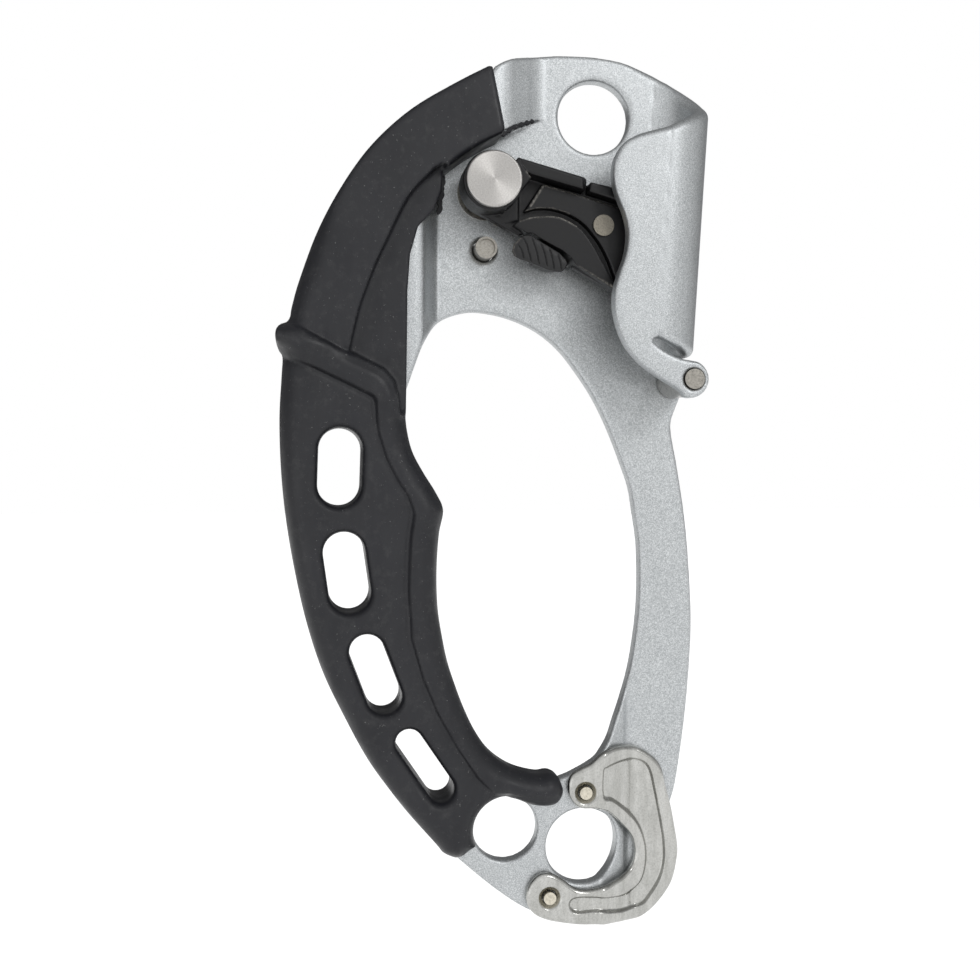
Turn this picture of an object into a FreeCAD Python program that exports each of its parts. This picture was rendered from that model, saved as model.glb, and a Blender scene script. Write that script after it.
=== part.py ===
"""Left-hand handled ascender, in millimetres.

X points right, Y away from the viewer and Z up.  The origin lies on the rope's
line, level with the middle of the cam's travel.  Front and back mean -Y and +Y.
"""
import FreeCAD
import Part
import math
import os

os.makedirs("parts", exist_ok=True)
Vector = FreeCAD.Vector

# Plate blank and the rope channel that is folded from it
blank_width = 100.0
blank_height = 200.0
plate_thick = 4.0
channel_gap = 14.0
rope_lean = math.radians(3.6)
handle_step = 6.0
fold_shift = 1.75
bend_round = 2.2
side_ramp_gap = 10.9
side_ramp_run = 4.0
slit_width = 0.35
overrun = 5.0
fold_cut_margin = 2.0

plate_front = channel_gap / 2
plate_back = plate_front + plate_thick
flap_back = -channel_gap / 2
flap_front = flap_back - plate_thick
handle_front = plate_front - handle_step
handle_back = handle_front + plate_thick
handle_middle = handle_front + plate_thick / 2
fold_inner_round = channel_gap / 2
fold_outer_round = fold_inner_round + plate_thick

# Holes in the plate
top_hole_bore = 16.8
big_hole_bore = 17.4
small_hole_bore = 14.8
top_hole_share = (-0.1365, 0.1575)
big_hole_share = (-0.171, -0.686)
small_hole_share = (-0.353, -0.662)

# Rubber grip
grip_thick = 15.0
grip_wrap = 2.5
grip_round = 4.6
grip_tail_thick = 12.0
slot_lining = 1.3
slot_lengths = (17.5, 18.2, 18.6, 18.8)
slot_widths = (9.7, 9.3, 7.9, 6.1)
slot_leans = (2.0, -8.1, -20.7, -34.0)
slot_shares = ((-0.728, -0.248), (-0.713, -0.365), (-0.650, -0.479), (-0.540, -0.583))
valley_depth = 4.2
hub_room = 1.5
collar_round = 2.9
collar_sink = 0.9

# Running clearances
running_fit = 0.05
side_gap = 0.3
cover_gap = 0.4

# Cam and its pivot, which lies a share of the reach away from the rope
cam_reach = 50.0
cam_pivot_share = (-0.788, 0.264)
cam_pivot = (cam_pivot_share[0] * cam_reach, cam_pivot_share[1] * cam_reach)
hub_round = 6.6
sleeve_round = 5.5
cam_pin_round = 2.5
bush_wall = 0.6
head_round = 6.2
head_thick = 1.5
head_rim_round = 0.5
rivet_end_round = 4.6
rivet_end_thick = 1.3
rivet_washer_round = 5.6
rivet_washer_thick = 0.6
hub_front = -8.2
hub_step = 1.0
hub_back = 5.2
washer_thick = 0.5
washer_round = 6.2
cam_plate_front = -1.9
cam_plate_thick = 2.5
cam_rib_height = 2.1
cam_crescent_height = 2.6
top_rib_height = 5.1
small_rib_height = 4.1
block_front = -5.2
block_back = 5.1
tooth_base_round = 0.8
tooth_tip_round = 0.2
tooth_height = 1.2
tooth_rows = 8
tooth_columns = 3
tooth_pitch = 2.6

# Cam spring, round the bush inside the hub
cam_wire = 0.9
cam_coil_round = 3.9
cam_coil_turns = 3
cam_coil_pitch = 1.55
cam_spring_recess_round = 4.7
cam_spring_recess_depth = 5.0
cam_spring_lift = 0.15

# Safety catch
catch_front = 1.0
catch_back = 5.8
catch_eye_round = 4.0
catch_pin_round = 1.3
catch_head_round = 2.36
catch_head_thick = 0.6
pad_front = -4.0
pad_tail = 0.7
pin_sweep_gap = 0.3
pad_groove_width = 0.45
pad_groove_depth = 0.5
catch_wire = 0.5
catch_coil_round = 2.3
catch_coil_turns = 2
catch_coil_pitch = 1.0
catch_recess_round = 3.1
catch_recess_depth = 3.0

# Stop pin on the plate
stop_pin_round = 2.5
stop_pin_height = 4.2
stop_pin_cup_round = 2.0
stop_pin_cup_depth = 0.8
stop_pin_reach = 13.0

# Roller at the channel's mouth
roller_centre_share = (0.0535, -0.150)
roller_round = 3.65
roller_bush_wall = 0.6
axle_round = 2.25
axle_proud = 0.25
arm_end_round = 4.2
arm_end_share = (0.046, -0.150)
roller_washer_thick = 0.4
roller_washer_round = 3.4

# Connector plate round the big lower hole
connector_thick = 2.0
connector_recess_depth = 0.6
connector_rivet_round = 1.45
connector_dish_round = 2.6
connector_dish_depth = 0.5
connector_head_proud = 0.2
back_washer_round = 3.4
back_washer_thick = 0.7
seat_gap = 0.3
closed_end_round = 2.4
closed_end_thick = 1.0


def placed(shares, width=blank_width, height=blank_height):
    """Points in the XZ plane from shares of a width and a height."""
    return [(a * width, b * height) for a, b in shares]


def from_pivot(shares):
    """Points of the cam from shares of its reach, counted from its pivot."""
    return [(cam_pivot[0] + a * cam_reach, cam_pivot[1] + b * cam_reach) for a, b in shares]


def flat(point):
    return Vector(point[0], 0, point[1])


def curve(points):
    """A smooth edge through the points."""
    spline = Part.BSplineCurve()
    spline.interpolate([flat(p) for p in points])
    return spline.toShape()


def straight(*points):
    """Straight edges from point to point."""
    return [Part.LineSegment(flat(a), flat(b)).toShape() for a, b in zip(points, points[1:])]


def arc(start, middle, end):
    return Part.Arc(flat(start), flat(middle), flat(end)).toShape()


def face(edges):
    return Part.Face(Part.Wire(edges))


def polygon(points):
    return face(straight(*points, points[0]))


def plate(shape, front, back):
    """A face of the XZ plane as a solid from front to back along Y."""
    moved = shape.copy()
    moved.translate(Vector(0, front, 0))
    return moved.extrude(Vector(0, back - front, 0))


def post(centre, radius, front, back):
    return Part.makeCylinder(radius, back - front, Vector(centre[0], front, centre[1]), Vector(0, 1, 0))


def tube(centre, outer, inner, front, back):
    bore = post(centre, inner, front - overrun, back + overrun)
    return post(centre, outer, front, back).cut(bore)


def obround(centre, length, width, lean):
    """A slot's face with round ends, leaning from Z towards +X."""
    r = width / 2
    h = length / 2 - r
    side = Part.LineSegment(Vector(-r, 0, -h), Vector(-r, 0, h)).toShape()
    other = Part.LineSegment(Vector(r, 0, h), Vector(r, 0, -h)).toShape()
    top = Part.Arc(Vector(-r, 0, h), Vector(0, 0, h + r), Vector(r, 0, h)).toShape()
    bottom = Part.Arc(Vector(r, 0, -h), Vector(0, 0, -h - r), Vector(-r, 0, -h)).toShape()
    slot = Part.Face(Part.Wire([side, top, other, bottom]))
    slot.rotate(Vector(), Vector(0, 1, 0), lean)
    slot.translate(flat(centre))
    return slot


def inset(points, depth):
    """Points moved sideways by a depth, to the right of their direction."""
    moved = []
    for i, point in enumerate(points):
        before = points[max(i - 1, 0)]
        after = points[min(i + 1, len(points) - 1)]
        dx = after[0] - before[0]
        dz = after[1] - before[1]
        size = math.hypot(dx, dz)
        moved.append((point[0] + depth * dz / size, point[1] - depth * dx / size))
    return moved


def write(name, shape):
    """Write one sub-part, a solid or a group of separate solids."""
    solids = shape.Solids
    kept = solids[0] if len(solids) == 1 else Part.makeCompound(solids)
    kept.exportStep(f"parts/{name}.step")
    print(name, len(solids), "solid(s), volume", round(sum(s.Volume for s in solids), 1))


def rope_x(z):
    """The rope line's X at a height."""
    return z * math.tan(rope_lean)


def fold_x(z):
    """X of the fold's axis at a height, a little left of the rope's line."""
    return rope_x(z) - fold_shift


# Outlines as shares of the blank
grip_outer_shares = [
    (-0.380, 0.207), (-0.484, 0.1795), (-0.580, 0.1470), (-0.664, 0.1065), (-0.726, 0.060),
    (-0.777, 0.0110), (-0.814, -0.040), (-0.832, -0.074), (-0.852, -0.094), (-0.868, -0.112),
    (-0.860, -0.132), (-0.857, -0.160), (-0.859, -0.205), (-0.857, -0.252), (-0.846, -0.309),
    (-0.827, -0.366), (-0.802, -0.422), (-0.767, -0.477), (-0.718, -0.5290), (-0.662, -0.5805),
    (-0.592, -0.6280), (-0.514, -0.673)]
grip_toe_shares = [(-0.518, -0.676), (-0.484, -0.689), (-0.446, -0.687), (-0.428, -0.672), (-0.4275, -0.662)]
grip_rim_shares = [(-0.353, -0.625), (-0.300, -0.6335), (-0.262, -0.6365), (-0.233, -0.6335), (-0.220, -0.622),
                   (-0.226, -0.608), (-0.252, -0.599)]
finger_shares = [
    (-0.252, -0.599), (-0.281, -0.600), (-0.338, -0.592), (-0.386, -0.574), (-0.421, -0.5495),
    (-0.446, -0.523), (-0.467, -0.4955), (-0.485, -0.4675), (-0.497, -0.439), (-0.506, -0.410),
    (-0.509, -0.3805), (-0.508, -0.351), (-0.503, -0.322), (-0.496, -0.300), (-0.508, -0.279),
    (-0.536, -0.254), (-0.560, -0.230), (-0.573, -0.206), (-0.578, -0.1875), (-0.577, -0.160)]
valley_edge_shares = [(-0.577, -0.160), (-0.576, -0.055), (-0.572, -0.006), (-0.558, 0.0175),
                      (-0.534, 0.033), (-0.505, 0.050), (-0.496, 0.085)]
band_edge_shares = [(-0.496, 0.085), (-0.434, 0.1065), (-0.362, 0.130)]

frame_top_shares = [(-0.376, 0.204), (-0.353, 0.211), (-0.320, 0.218), (-0.254, 0.226), (-0.193, 0.228),
                    (-0.131, 0.2275), (-0.071, 0.2235), (-0.030, 0.2175), (0.0085, 0.2100)]
limb_outer_shares = [(0.064, -0.179), (0.054, -0.193), (0.0525, -0.205), (0.058, -0.2225), (0.069, -0.251),
                     (0.088, -0.312), (0.099, -0.3735), (0.104, -0.435), (0.098, -0.497), (0.086, -0.5585),
                     (0.067, -0.623), (0.052, -0.650)]
toe_shares = [(0.052, -0.650), (0.054, -0.670), (0.061, -0.695), (0.060, -0.7135), (0.049, -0.735),
              (0.020, -0.759), (-0.020, -0.775), (-0.070, -0.778), (-0.140, -0.773), (-0.210, -0.7705),
              (-0.262, -0.765), (-0.310, -0.7545), (-0.363, -0.7365), (-0.417, -0.7145), (-0.490, -0.682)]
opening_shares = [
    (-0.5635, -0.120), (-0.559, -0.1345), (-0.536, -0.107), (-0.497, -0.0815), (-0.435, -0.070),
    (-0.375, -0.0715), (-0.316, -0.0795), (-0.262, -0.093), (-0.215, -0.1125), (-0.177, -0.136),
    (-0.142, -0.1615), (-0.113, -0.188), (-0.088, -0.216), (-0.066, -0.2445), (-0.046, -0.2735),
    (-0.027, -0.3345), (-0.024, -0.381), (-0.028, -0.4275), (-0.047, -0.4885), (-0.064, -0.5175),
    (-0.088, -0.5455), (-0.107, -0.566), (-0.133, -0.582), (-0.158, -0.591), (-0.186, -0.598),
    (-0.216, -0.605)]
flap_shares = [
    (-0.001, 0.134), (-0.015, 0.1295), (-0.036, 0.126), (-0.070, 0.120), (-0.088, 0.115),
    (-0.104, 0.108), (-0.119, 0.0995), (-0.130, 0.087), (-0.132, 0.073), (-0.127, 0.058),
    (-0.115, 0.044), (-0.101, 0.026), (-0.098, 0.009), (-0.104, -0.013), (-0.119, -0.035),
    (-0.128, -0.053), (-0.129, -0.072), (-0.123, -0.086), (-0.114, -0.101), (-0.100, -0.1145),
    (-0.081, -0.127), (-0.058, -0.137), (-0.020, -0.1505), (0.017, -0.161)]
slot_upper_shares = [(-0.026, -0.105), (-0.011, -0.1085), (0.010, -0.1145), (0.032, -0.121), (0.046, -0.1235)]
slot_lower_shares = [(-0.040, -0.109), (-0.025, -0.116), (-0.005, -0.122), (0.017, -0.126), (0.046, -0.1285)]
slit_shares = [(-0.302, -0.024), (-0.222, 0.076), (-0.176, 0.136), (-0.076, 0.216), (0.066, 0.260),
               (0.158, 0.308), (0.250, 0.340)]
fold_top_shares = [(0.0, 0.210), (0.12, 0.2015), (0.25, 0.1895), (0.36, 0.178), (0.48, 0.166),
                   (0.60, 0.157), (0.75, 0.149), (0.88, 0.1405), (1.0, 0.134)]


# Plate with its steps

def stepped_slab(step_from, step_to, thick, lift, low, high):
    """A slab that steps back from the handle plane to the main plane along X.

    step_from and step_to are where the front surface leaves the first plane and
    meets the second one.  lift moves the whole slab towards the front.
    """
    slope = math.atan2(handle_step, step_to - step_from)
    shift = math.tan(slope / 2)
    left = -blank_width
    right = blank_width
    points = [
        (left, handle_front - lift), (step_from + lift * shift, handle_front - lift),
        (step_to + lift * shift, plate_front - lift), (right, plate_front - lift),
        (right, plate_front - lift + thick), (step_to + (lift - thick) * shift, plate_front - lift + thick),
        (step_from + (lift - thick) * shift, handle_front - lift + thick), (left, handle_front - lift + thick)]
    corners = [Vector(x, y, low) for x, y in points]
    edges = [Part.LineSegment(a, b).toShape() for a, b in zip(corners, corners[1:] + corners[:1])]
    slab = Part.Face(Part.Wire(edges)).extrude(Vector(0, 0, high - low))
    bends = []
    for edge in slab.Edges:
        middle = edge.CenterOfMass
        upright = abs(edge.Vertexes[0].Z - edge.Vertexes[-1].Z) > (high - low) / 2
        if upright and abs(middle.x) < blank_width * 0.9:
            bends.append(edge)
    return slab.makeFillet(bend_round, bends)


top_step_shares = (-0.355, -0.263)
foot_step_shares = (-0.139, -0.053)
middle_step_shares = (-0.42, -0.38)
side_zone_foot_share = -0.145
foot_zone_top_share = -0.475


def step_places(shares):
    return [share * blank_width for share in shares]


def side_ramp():
    """Where the plate steps back beside the cam's pivot."""
    end = cam_pivot[0] - side_ramp_gap
    return [end - side_ramp_run, end]


def grip_outline():
    """The rubber's face in the XZ plane, from its top end down the outside."""
    outer = curve(placed(grip_outer_shares))
    toe = curve(placed(grip_toe_shares))
    rim = curve(placed(grip_rim_shares))
    fingers = curve(placed(finger_shares))
    valley = curve(placed(valley_edge_shares))
    band = curve(placed(band_edge_shares))
    hole = placed([small_hole_share])[0]
    lip = small_hole_bore / 2
    crown = (hole[0] - lip * math.sqrt(0.5), hole[1] + lip * math.sqrt(0.5))
    round_hole = arc(placed(grip_toe_shares)[-1], crown, placed(grip_rim_shares)[0])
    top = straight(placed(band_edge_shares)[-1], placed(grip_outer_shares)[0])
    return face([outer, toe, round_hole, rim, fingers, valley, band] + top)


def frame_outline():
    """The main outline of the plate, without the flap, its holes left out."""
    rim = placed(frame_top_shares)
    fold_start = (fold_x(rim[-1][1]), rim[-1][1])
    top = curve(rim[:-1] + [fold_start])
    slot_top = (fold_x(placed(slot_upper_shares)[0][1]), placed(slot_upper_shares)[0][1])
    arm_centre = placed([arm_end_share])[0]
    arm_top = (arm_centre[0], arm_centre[1] + arm_end_round)
    arm_side = (arm_centre[0] + arm_end_round, arm_centre[1])
    limb_start = placed(limb_outer_shares)[0]
    limb = curve(placed(limb_outer_shares))
    toe = curve(placed(toe_shares))
    under_grip = inset(placed(grip_outer_shares), -grip_wrap)
    toe_end = placed(toe_shares)[-1]
    side = curve([toe_end] + under_grip[-2::-1][:-1] + [placed(frame_top_shares)[0]])
    edges = [top]
    edges += straight(fold_start, slot_top, arm_top)
    edges += [arc(arm_top, arm_side, limb_start), limb, toe, side]
    return face(edges)


def opening_outline():
    """The finger opening of the plate, partly hidden by the rubber."""
    bare = placed(opening_shares[1:])
    under_grip = inset(placed(finger_shares), -grip_wrap)
    hidden = [under_grip[i] for i in (2, 4, 6, 8, 10, 12, 14, 16, 17)]
    return face([curve(bare), curve([bare[-1]] + hidden + [bare[0]])])


def relief_slot():
    """The slot between the fold's lower end and the arms."""
    upper = placed(slot_upper_shares)
    lower = placed(slot_lower_shares)
    nose = (lower[0][0] - slit_width / 2, (upper[0][1] + lower[0][1]) / 2 + slit_width / 2)
    return face([curve(upper)] + straight(upper[-1], lower[-1]) + [curve(lower[::-1]), arc(lower[0], nose, upper[0])])


def make_plate():
    """The flat and stepped part of the frame."""
    whole = frame_outline()
    side_x = side_ramp()
    slit = from_pivot(slit_shares)
    left = -blank_width
    right = blank_width
    top = blank_height / 2
    bottom = -blank_height
    split = slit[0][1]
    side_foot = side_zone_foot_share * blank_height
    foot_top = foot_zone_top_share * blank_height
    divide = [(left, split), (side_x[0] - plate_thick, split)] + slit + [(right, slit[-1][1])]
    above = polygon(divide + [(right, top), (left, top)])
    beside = polygon(divide + [(right, side_foot), (left, side_foot)])
    middle = polygon([(left, side_foot), (right, side_foot), (right, foot_top), (left, foot_top)])
    below = polygon([(left, foot_top), (right, foot_top), (right, bottom), (left, bottom)])
    pieces = []
    for area, places in ((above, step_places(top_step_shares)), (beside, side_x),
                         (middle, step_places(middle_step_shares)), (below, step_places(foot_step_shares))):
        piece = plate(whole.common(area), flap_front, plate_back + overrun)
        pieces.append(piece.common(stepped_slab(places[0], places[1], plate_thick, 0, bottom, top)))
    body = pieces[0].fuse(pieces[1:])
    left_edge = [(x, z + slit_width / 2) for x, z in slit]
    right_edge = [(x, z - slit_width / 2) for x, z in slit]
    cut = plate(polygon(left_edge + right_edge[::-1]), handle_front - overrun, plate_back + overrun)
    return body.cut(cut)


def make_fold():
    """The half-round wall of the channel, with its slanted top end."""
    foot = Vector(fold_x(-blank_height / 4), 0, -blank_height / 4)
    axis = Vector(math.sin(rope_lean), 0, math.cos(rope_lean))
    length = blank_height / 2
    wall = Part.makeCylinder(fold_outer_round, length, foot, axis)
    wall = wall.cut(Part.makeCylinder(fold_inner_round, length, foot, axis))
    low = -blank_height / 4 - overrun
    high = blank_height / 2
    side = polygon([(fold_x(low), low), (blank_width / 2, low), (blank_width / 2, high), (fold_x(high), high)])
    wall = wall.common(plate(side, flap_front - overrun, plate_back + overrun))
    rims = []
    for radius in (fold_inner_round - fold_cut_margin, fold_outer_round + fold_cut_margin):
        points = []
        for turn_share, height_share in fold_top_shares:
            height = height_share * blank_height
            turn = turn_share * math.pi
            points.append(Vector(fold_x(height) + radius * math.sin(turn), radius * math.cos(turn), height))
        spline = Part.BSplineCurve()
        spline.interpolate(points)
        rims.append(spline.toShape())
    lid = Part.makeRuledSurface(rims[0], rims[1], 1).extrude(Vector(0, 0, blank_height / 2))
    wall = wall.cut(lid)
    upper = placed(slot_upper_shares)
    out = blank_width / 2
    under = face([curve(upper)] + straight(upper[-1], (out, upper[-1][1]), (out, low * 2), (upper[0][0] - out, low * 2),
                                           (upper[0][0] - out, upper[0][1]), upper[0]))
    return wall.cut(plate(under, flap_front - overrun, plate_back + overrun))


def make_flap():
    """The flap over the cam, with the arm that holds the roller."""
    rim = placed(flap_shares)
    rim[0] = (fold_x(rim[0][1]), rim[0][1])
    arm_centre = placed([arm_end_share])[0]
    arm_top = (arm_centre[0], arm_centre[1] + arm_end_round)
    arm_side = (arm_centre[0] + arm_end_round, arm_centre[1])
    slot_top = (fold_x(placed(slot_upper_shares)[0][1]), placed(slot_upper_shares)[0][1])
    edges = [curve(rim), arc(rim[-1], arm_side, arm_top)] + straight(arm_top, slot_top, rim[0])
    return plate(face(edges), flap_front, flap_back)


def make_frame():
    body = make_plate().fuse([make_fold(), make_flap()])
    cuts = [plate(opening_outline(), flap_front, plate_back + overrun),
            plate(relief_slot(), flap_front - overrun, plate_back + overrun)]
    for bore, share in ((top_hole_bore, top_hole_share), (big_hole_bore, big_hole_share),
                        (small_hole_bore, small_hole_share)):
        cuts.append(post(placed([share])[0], bore / 2, flap_back, plate_back + overrun))
    for share, length, width, lean in zip(slot_shares, slot_lengths, slot_widths, slot_leans):
        wide = obround(placed([share])[0], length + 2 * slot_lining, width + 2 * slot_lining, lean)
        cuts.append(plate(wide, flap_back, plate_back))
    cuts.append(post(roller_centre(), axle_round + running_fit, flap_front - overrun, plate_back + overrun))
    cuts.append(post(cam_pivot, cam_pin_round + running_fit, plate_front - overrun, plate_back + overrun))
    cuts.append(post(stop_pin_place(), stop_pin_round + running_fit, plate_front - overrun, plate_back + overrun))
    cuts.append(post(spring_foot(), cam_wire / 2 + running_fit, plate_front - overrun, plate_back + overrun))
    for centre in placed(connector_rivet_shares):
        cuts.append(post(centre, connector_rivet_round + running_fit, flap_back, plate_back))
        cuts.append(post(centre, back_washer_round + seat_gap, handle_back, plate_back + overrun))
    return body.cut(cuts).removeSplitter()


# Rubber grip

# Pairs across the handle, outside then inside, from the top end to the tail
grip_section_shares = [
    (-0.384, 0.2065, -0.358, 0.130), (-0.484, 0.1795, -0.426, 0.106), (-0.580, 0.1470, -0.489, 0.084),
    (-0.664, 0.1065, -0.509, 0.044), (-0.726, 0.060, -0.556, 0.0185), (-0.777, 0.0110, -0.572, -0.016),
    (-0.814, -0.0415, -0.574, -0.053), (-0.838, -0.078, -0.574, -0.081), (-0.869, -0.112, -0.574, -0.113),
    (-0.858, -0.143, -0.575, -0.148), (-0.860, -0.194, -0.578, -0.190), (-0.857, -0.252, -0.554, -0.245),
    (-0.846, -0.309, -0.500, -0.294), (-0.827, -0.366, -0.509, -0.3375), (-0.803, -0.422, -0.512, -0.385),
    (-0.767, -0.477, -0.502, -0.4325), (-0.718, -0.5290, -0.478, -0.4825), (-0.662, -0.5805, -0.442, -0.530),
    (-0.592, -0.6280, -0.405, -0.566), (-0.535, -0.6675, -0.338, -0.592), (-0.470, -0.6925, -0.228, -0.6205)]
valley_shares = [(-0.499, 0.085), (-0.541, 0.068), (-0.589, 0.0465), (-0.629, 0.011), (-0.660, -0.0265),
                 (-0.684, -0.066), (-0.697, -0.110)]
valley_foot_shares = [(-0.697, -0.118), (-0.631, -0.1365), (-0.609, -0.147), (-0.540, -0.165), (-0.450, -0.165),
                      (-0.450, 0.085)]
collar_shares = [(-0.842, -0.104), (-0.790, -0.1175), (-0.720, -0.1355), (-0.655, -0.152), (-0.605, -0.175)]


def grip_section(outside, inside, thick):
    """A rounded rectangle standing across the handle."""
    start = flat(outside)
    across = flat(inside) - start
    width = across.Length
    across.normalize()
    r = grip_round
    half = thick / 2
    k = r * (1 - math.sqrt(0.5))

    def at(u, y):
        return start + across * u + Vector(0, handle_middle + y, 0)

    corners = [
        (at(0, -half + r), at(k, -half + k), at(r, -half)),
        (at(width - r, -half), at(width - k, -half + k), at(width, -half + r)),
        (at(width, half - r), at(width - k, half - k), at(width - r, half)),
        (at(r, half), at(k, half - k), at(0, half - r))]
    edges = []
    for i, (a, b, c) in enumerate(corners):
        edges.append(Part.Arc(a, b, c).toShape())
        edges.append(Part.LineSegment(c, corners[(i + 1) % 4][0]).toShape())
    return Part.Wire(edges)


def bar_along(points, radius, y):
    """A round bar along a smooth line in the XZ plane."""
    path = curve(points)
    path.translate(Vector(0, y, 0))
    start = path.valueAt(path.FirstParameter)
    ring = Part.Wire(Part.makeCircle(radius, start, path.tangentAt(path.FirstParameter)))
    return Part.Wire(path).makePipeShell([ring], True, True)


def make_grip(frame):
    front = handle_middle - grip_thick / 2
    back = handle_middle + grip_thick / 2
    sections = []
    last = len(grip_section_shares) - 1
    for i, (a, b, c, d) in enumerate(grip_section_shares):
        ends = placed([(a, b), (c, d)])
        tail = max(0, i - last + 3) / 3
        sections.append(grip_section(ends[0], ends[1], grip_thick - tail * (grip_thick - grip_tail_thick)))
    body = Part.makeLoft(sections, True, True)
    floor = front + valley_depth
    rim = placed(valley_shares)
    foot = placed(valley_foot_shares)
    valley = face([curve(rim)] + straight(rim[-1], *foot, rim[0]))
    body = body.cut(plate(valley, front - overrun, floor))
    body = body.fuse(bar_along(placed(collar_shares), collar_round, front + collar_sink))
    cuts = [frame, post(placed([small_hole_share])[0], small_hole_bore / 2, front - overrun, back + overrun),
            post(cam_pivot, hub_round + hub_room, front - overrun, back + overrun)]
    for share, length, width, lean in zip(slot_shares, slot_lengths, slot_widths, slot_leans):
        cuts.append(plate(obround(placed([share])[0], length, width, lean), front - overrun, back + overrun))
    return body.cut(cuts)


# Cam and its pivot

hub_facet_shares = [(0.112, 0.102), (0.148, 0.042), (0.168, 0.016), (0.052, -0.132)]
hub_lobe_shares = [(0.130, 0.040), (0.128, -0.154), (0.066, -0.166), (-0.010, -0.130)]
hub_lobe_height = 0.4
cam_plate_shares = [(-0.040, -0.126), (0.048, -0.174), (0.546, -0.448), (0.700, -0.533), (0.700, -0.044),
                    (0.444, 0.014), (0.426, 0.030), (0.126, 0.110), (0.000, 0.110)]
top_rib_shares = [(0.110, 0.112), (0.426, 0.030), (0.418, -0.026), (0.150, 0.042)]
small_rib_shares = [(0.444, 0.014), (0.694, -0.038), (0.694, -0.100), (0.438, -0.028)]
rib_top_shares = [(0.222, -0.014), (0.238, 0.004), (0.556, -0.082), (0.720, -0.126)]
rib_under_shares = [(0.142, -0.122), (0.196, -0.106), (0.270, -0.102), (0.336, -0.118), (0.392, -0.152),
                    (0.452, -0.216), (0.508, -0.298), (0.560, -0.394)]
crescent_shares = [(0.116, -0.170), (0.194, -0.144), (0.254, -0.140), (0.328, -0.150), (0.376, -0.172),
                   (0.426, -0.212), (0.476, -0.270), (0.512, -0.330), (0.552, -0.400)]
crescent_foot_shares = [(0.620, -0.4885), (0.546, -0.448), (0.050, -0.175)]
block_top_shares = [(0.698, -0.080), (0.656, -0.120)]
block_side_shares = [(0.640, -0.200), (0.630, -0.300), (0.620, -0.4885)]
tooth_face_shares = [(0.808, -0.600), (0.822, -0.566), (0.806, -0.445), (0.774, -0.320), (0.736, -0.195), (0.698, -0.080)]
catch_rivet_share = (0.510, -0.172)
pad_room_shares = [(0.100, -0.420), (0.100, -0.240), (0.141, -0.2135), (0.183, -0.2115), (0.2305, -0.2395),
                   (0.2755, -0.2640), (0.3220, -0.2870), (0.3620, -0.3180), (0.3800, -0.3450), (0.3800, -0.420)]


def cam_slab(edges, front):
    """A raised part of the cam's plate."""
    return plate(face(edges), front, cam_plate_front + cam_plate_thick)


def tooth_line():
    return curve(from_pivot(tooth_face_shares[1:]))


def channel_room():
    """The room that the cam's head may fill in the rope channel."""
    room = fold_inner_round - cover_gap
    low = -blank_height / 4
    foot = Vector(fold_x(low), 0, low)
    axis = Vector(math.sin(rope_lean), 0, math.cos(rope_lean))
    barrel = Part.makeCylinder(room, blank_height / 2, foot, axis)
    high = blank_height / 4
    side = polygon([(fold_x(low), low), (fold_x(high), high), (-blank_width, high), (-blank_width, low)])
    return barrel.fuse(plate(side, -room, room))


def make_teeth():
    """Cones in rows across the curved face of the cam."""
    line = tooth_line()
    teeth = []
    length = line.Length
    for row in range(tooth_rows):
        place = line.getParameterByLength(length * (row + 0.6) / (tooth_rows + 0.2))
        point = line.valueAt(place)
        along = line.tangentAt(place)
        out = Vector(-along.z, 0, along.x)
        if out.x < 0:
            out = out * -1
        count = tooth_columns - row % 2
        for column in range(count):
            y = (column - (count - 1) / 2) * tooth_pitch
            foot = point + Vector(0, y, 0) - out * tooth_height
            teeth.append(Part.makeCone(2 * tooth_base_round - tooth_tip_round, tooth_tip_round, 2 * tooth_height, foot, out))
    return teeth


def make_cam():
    plate_back_y = cam_plate_front + cam_plate_thick
    hub = post(cam_pivot, hub_round, hub_front, hub_step)
    body = hub.fuse([post(cam_pivot, sleeve_round, hub_front, hub_back),
                     plate(polygon([cam_pivot] + from_pivot(hub_facet_shares)), hub_front, plate_back_y),
                     plate(polygon([cam_pivot] + from_pivot(hub_lobe_shares)), cam_plate_front - hub_lobe_height, plate_back_y)])
    outline = from_pivot(cam_plate_shares)
    slabs = [plate(polygon(outline), cam_plate_front, plate_back_y)]
    slabs.append(cam_slab(straight(*from_pivot(top_rib_shares), from_pivot(top_rib_shares)[0]),
                          cam_plate_front - top_rib_height))
    slabs.append(cam_slab(straight(*from_pivot(small_rib_shares), from_pivot(small_rib_shares)[0]),
                          cam_plate_front - small_rib_height))
    top = from_pivot(rib_top_shares)
    under = from_pivot(rib_under_shares)
    side = from_pivot(block_side_shares)
    slabs.append(cam_slab(straight(under[0], *top, side[1], under[-1]) + [curve(under[::-1])],
                          cam_plate_front - cam_rib_height))
    crescent = from_pivot(crescent_shares)
    foot = from_pivot(crescent_foot_shares)
    slabs.append(cam_slab([curve(crescent)] + straight(crescent[-1], side[1], *foot, crescent[0]),
                          cam_plate_front - cam_crescent_height))
    front_line = from_pivot(tooth_face_shares)
    block = face(straight(*from_pivot(block_top_shares)) + straight(from_pivot(block_top_shares)[-1], *side)
                 + straight(side[-1], *front_line[:2]) + [tooth_line()])
    head = plate(block, block_front, block_back).common(channel_room())
    body = body.fuse(slabs + [head] + make_teeth())
    bush = cam_pin_round + running_fit + bush_wall
    body = body.cut([plate(polygon(from_pivot(pad_room_shares)), hub_front, plate_back_y + overrun),
                     post(cam_pivot, bush + running_fit, hub_front - overrun, hub_back + overrun),
                     post(cam_pivot, cam_spring_recess_round, hub_back - cam_spring_recess_depth, hub_back + overrun),
                     post(from_pivot([catch_rivet_share])[0], catch_pin_round + running_fit,
                          block_front - overrun, block_back + overrun)])
    return body.removeSplitter()


def head_back():
    return hub_front - side_gap


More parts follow.
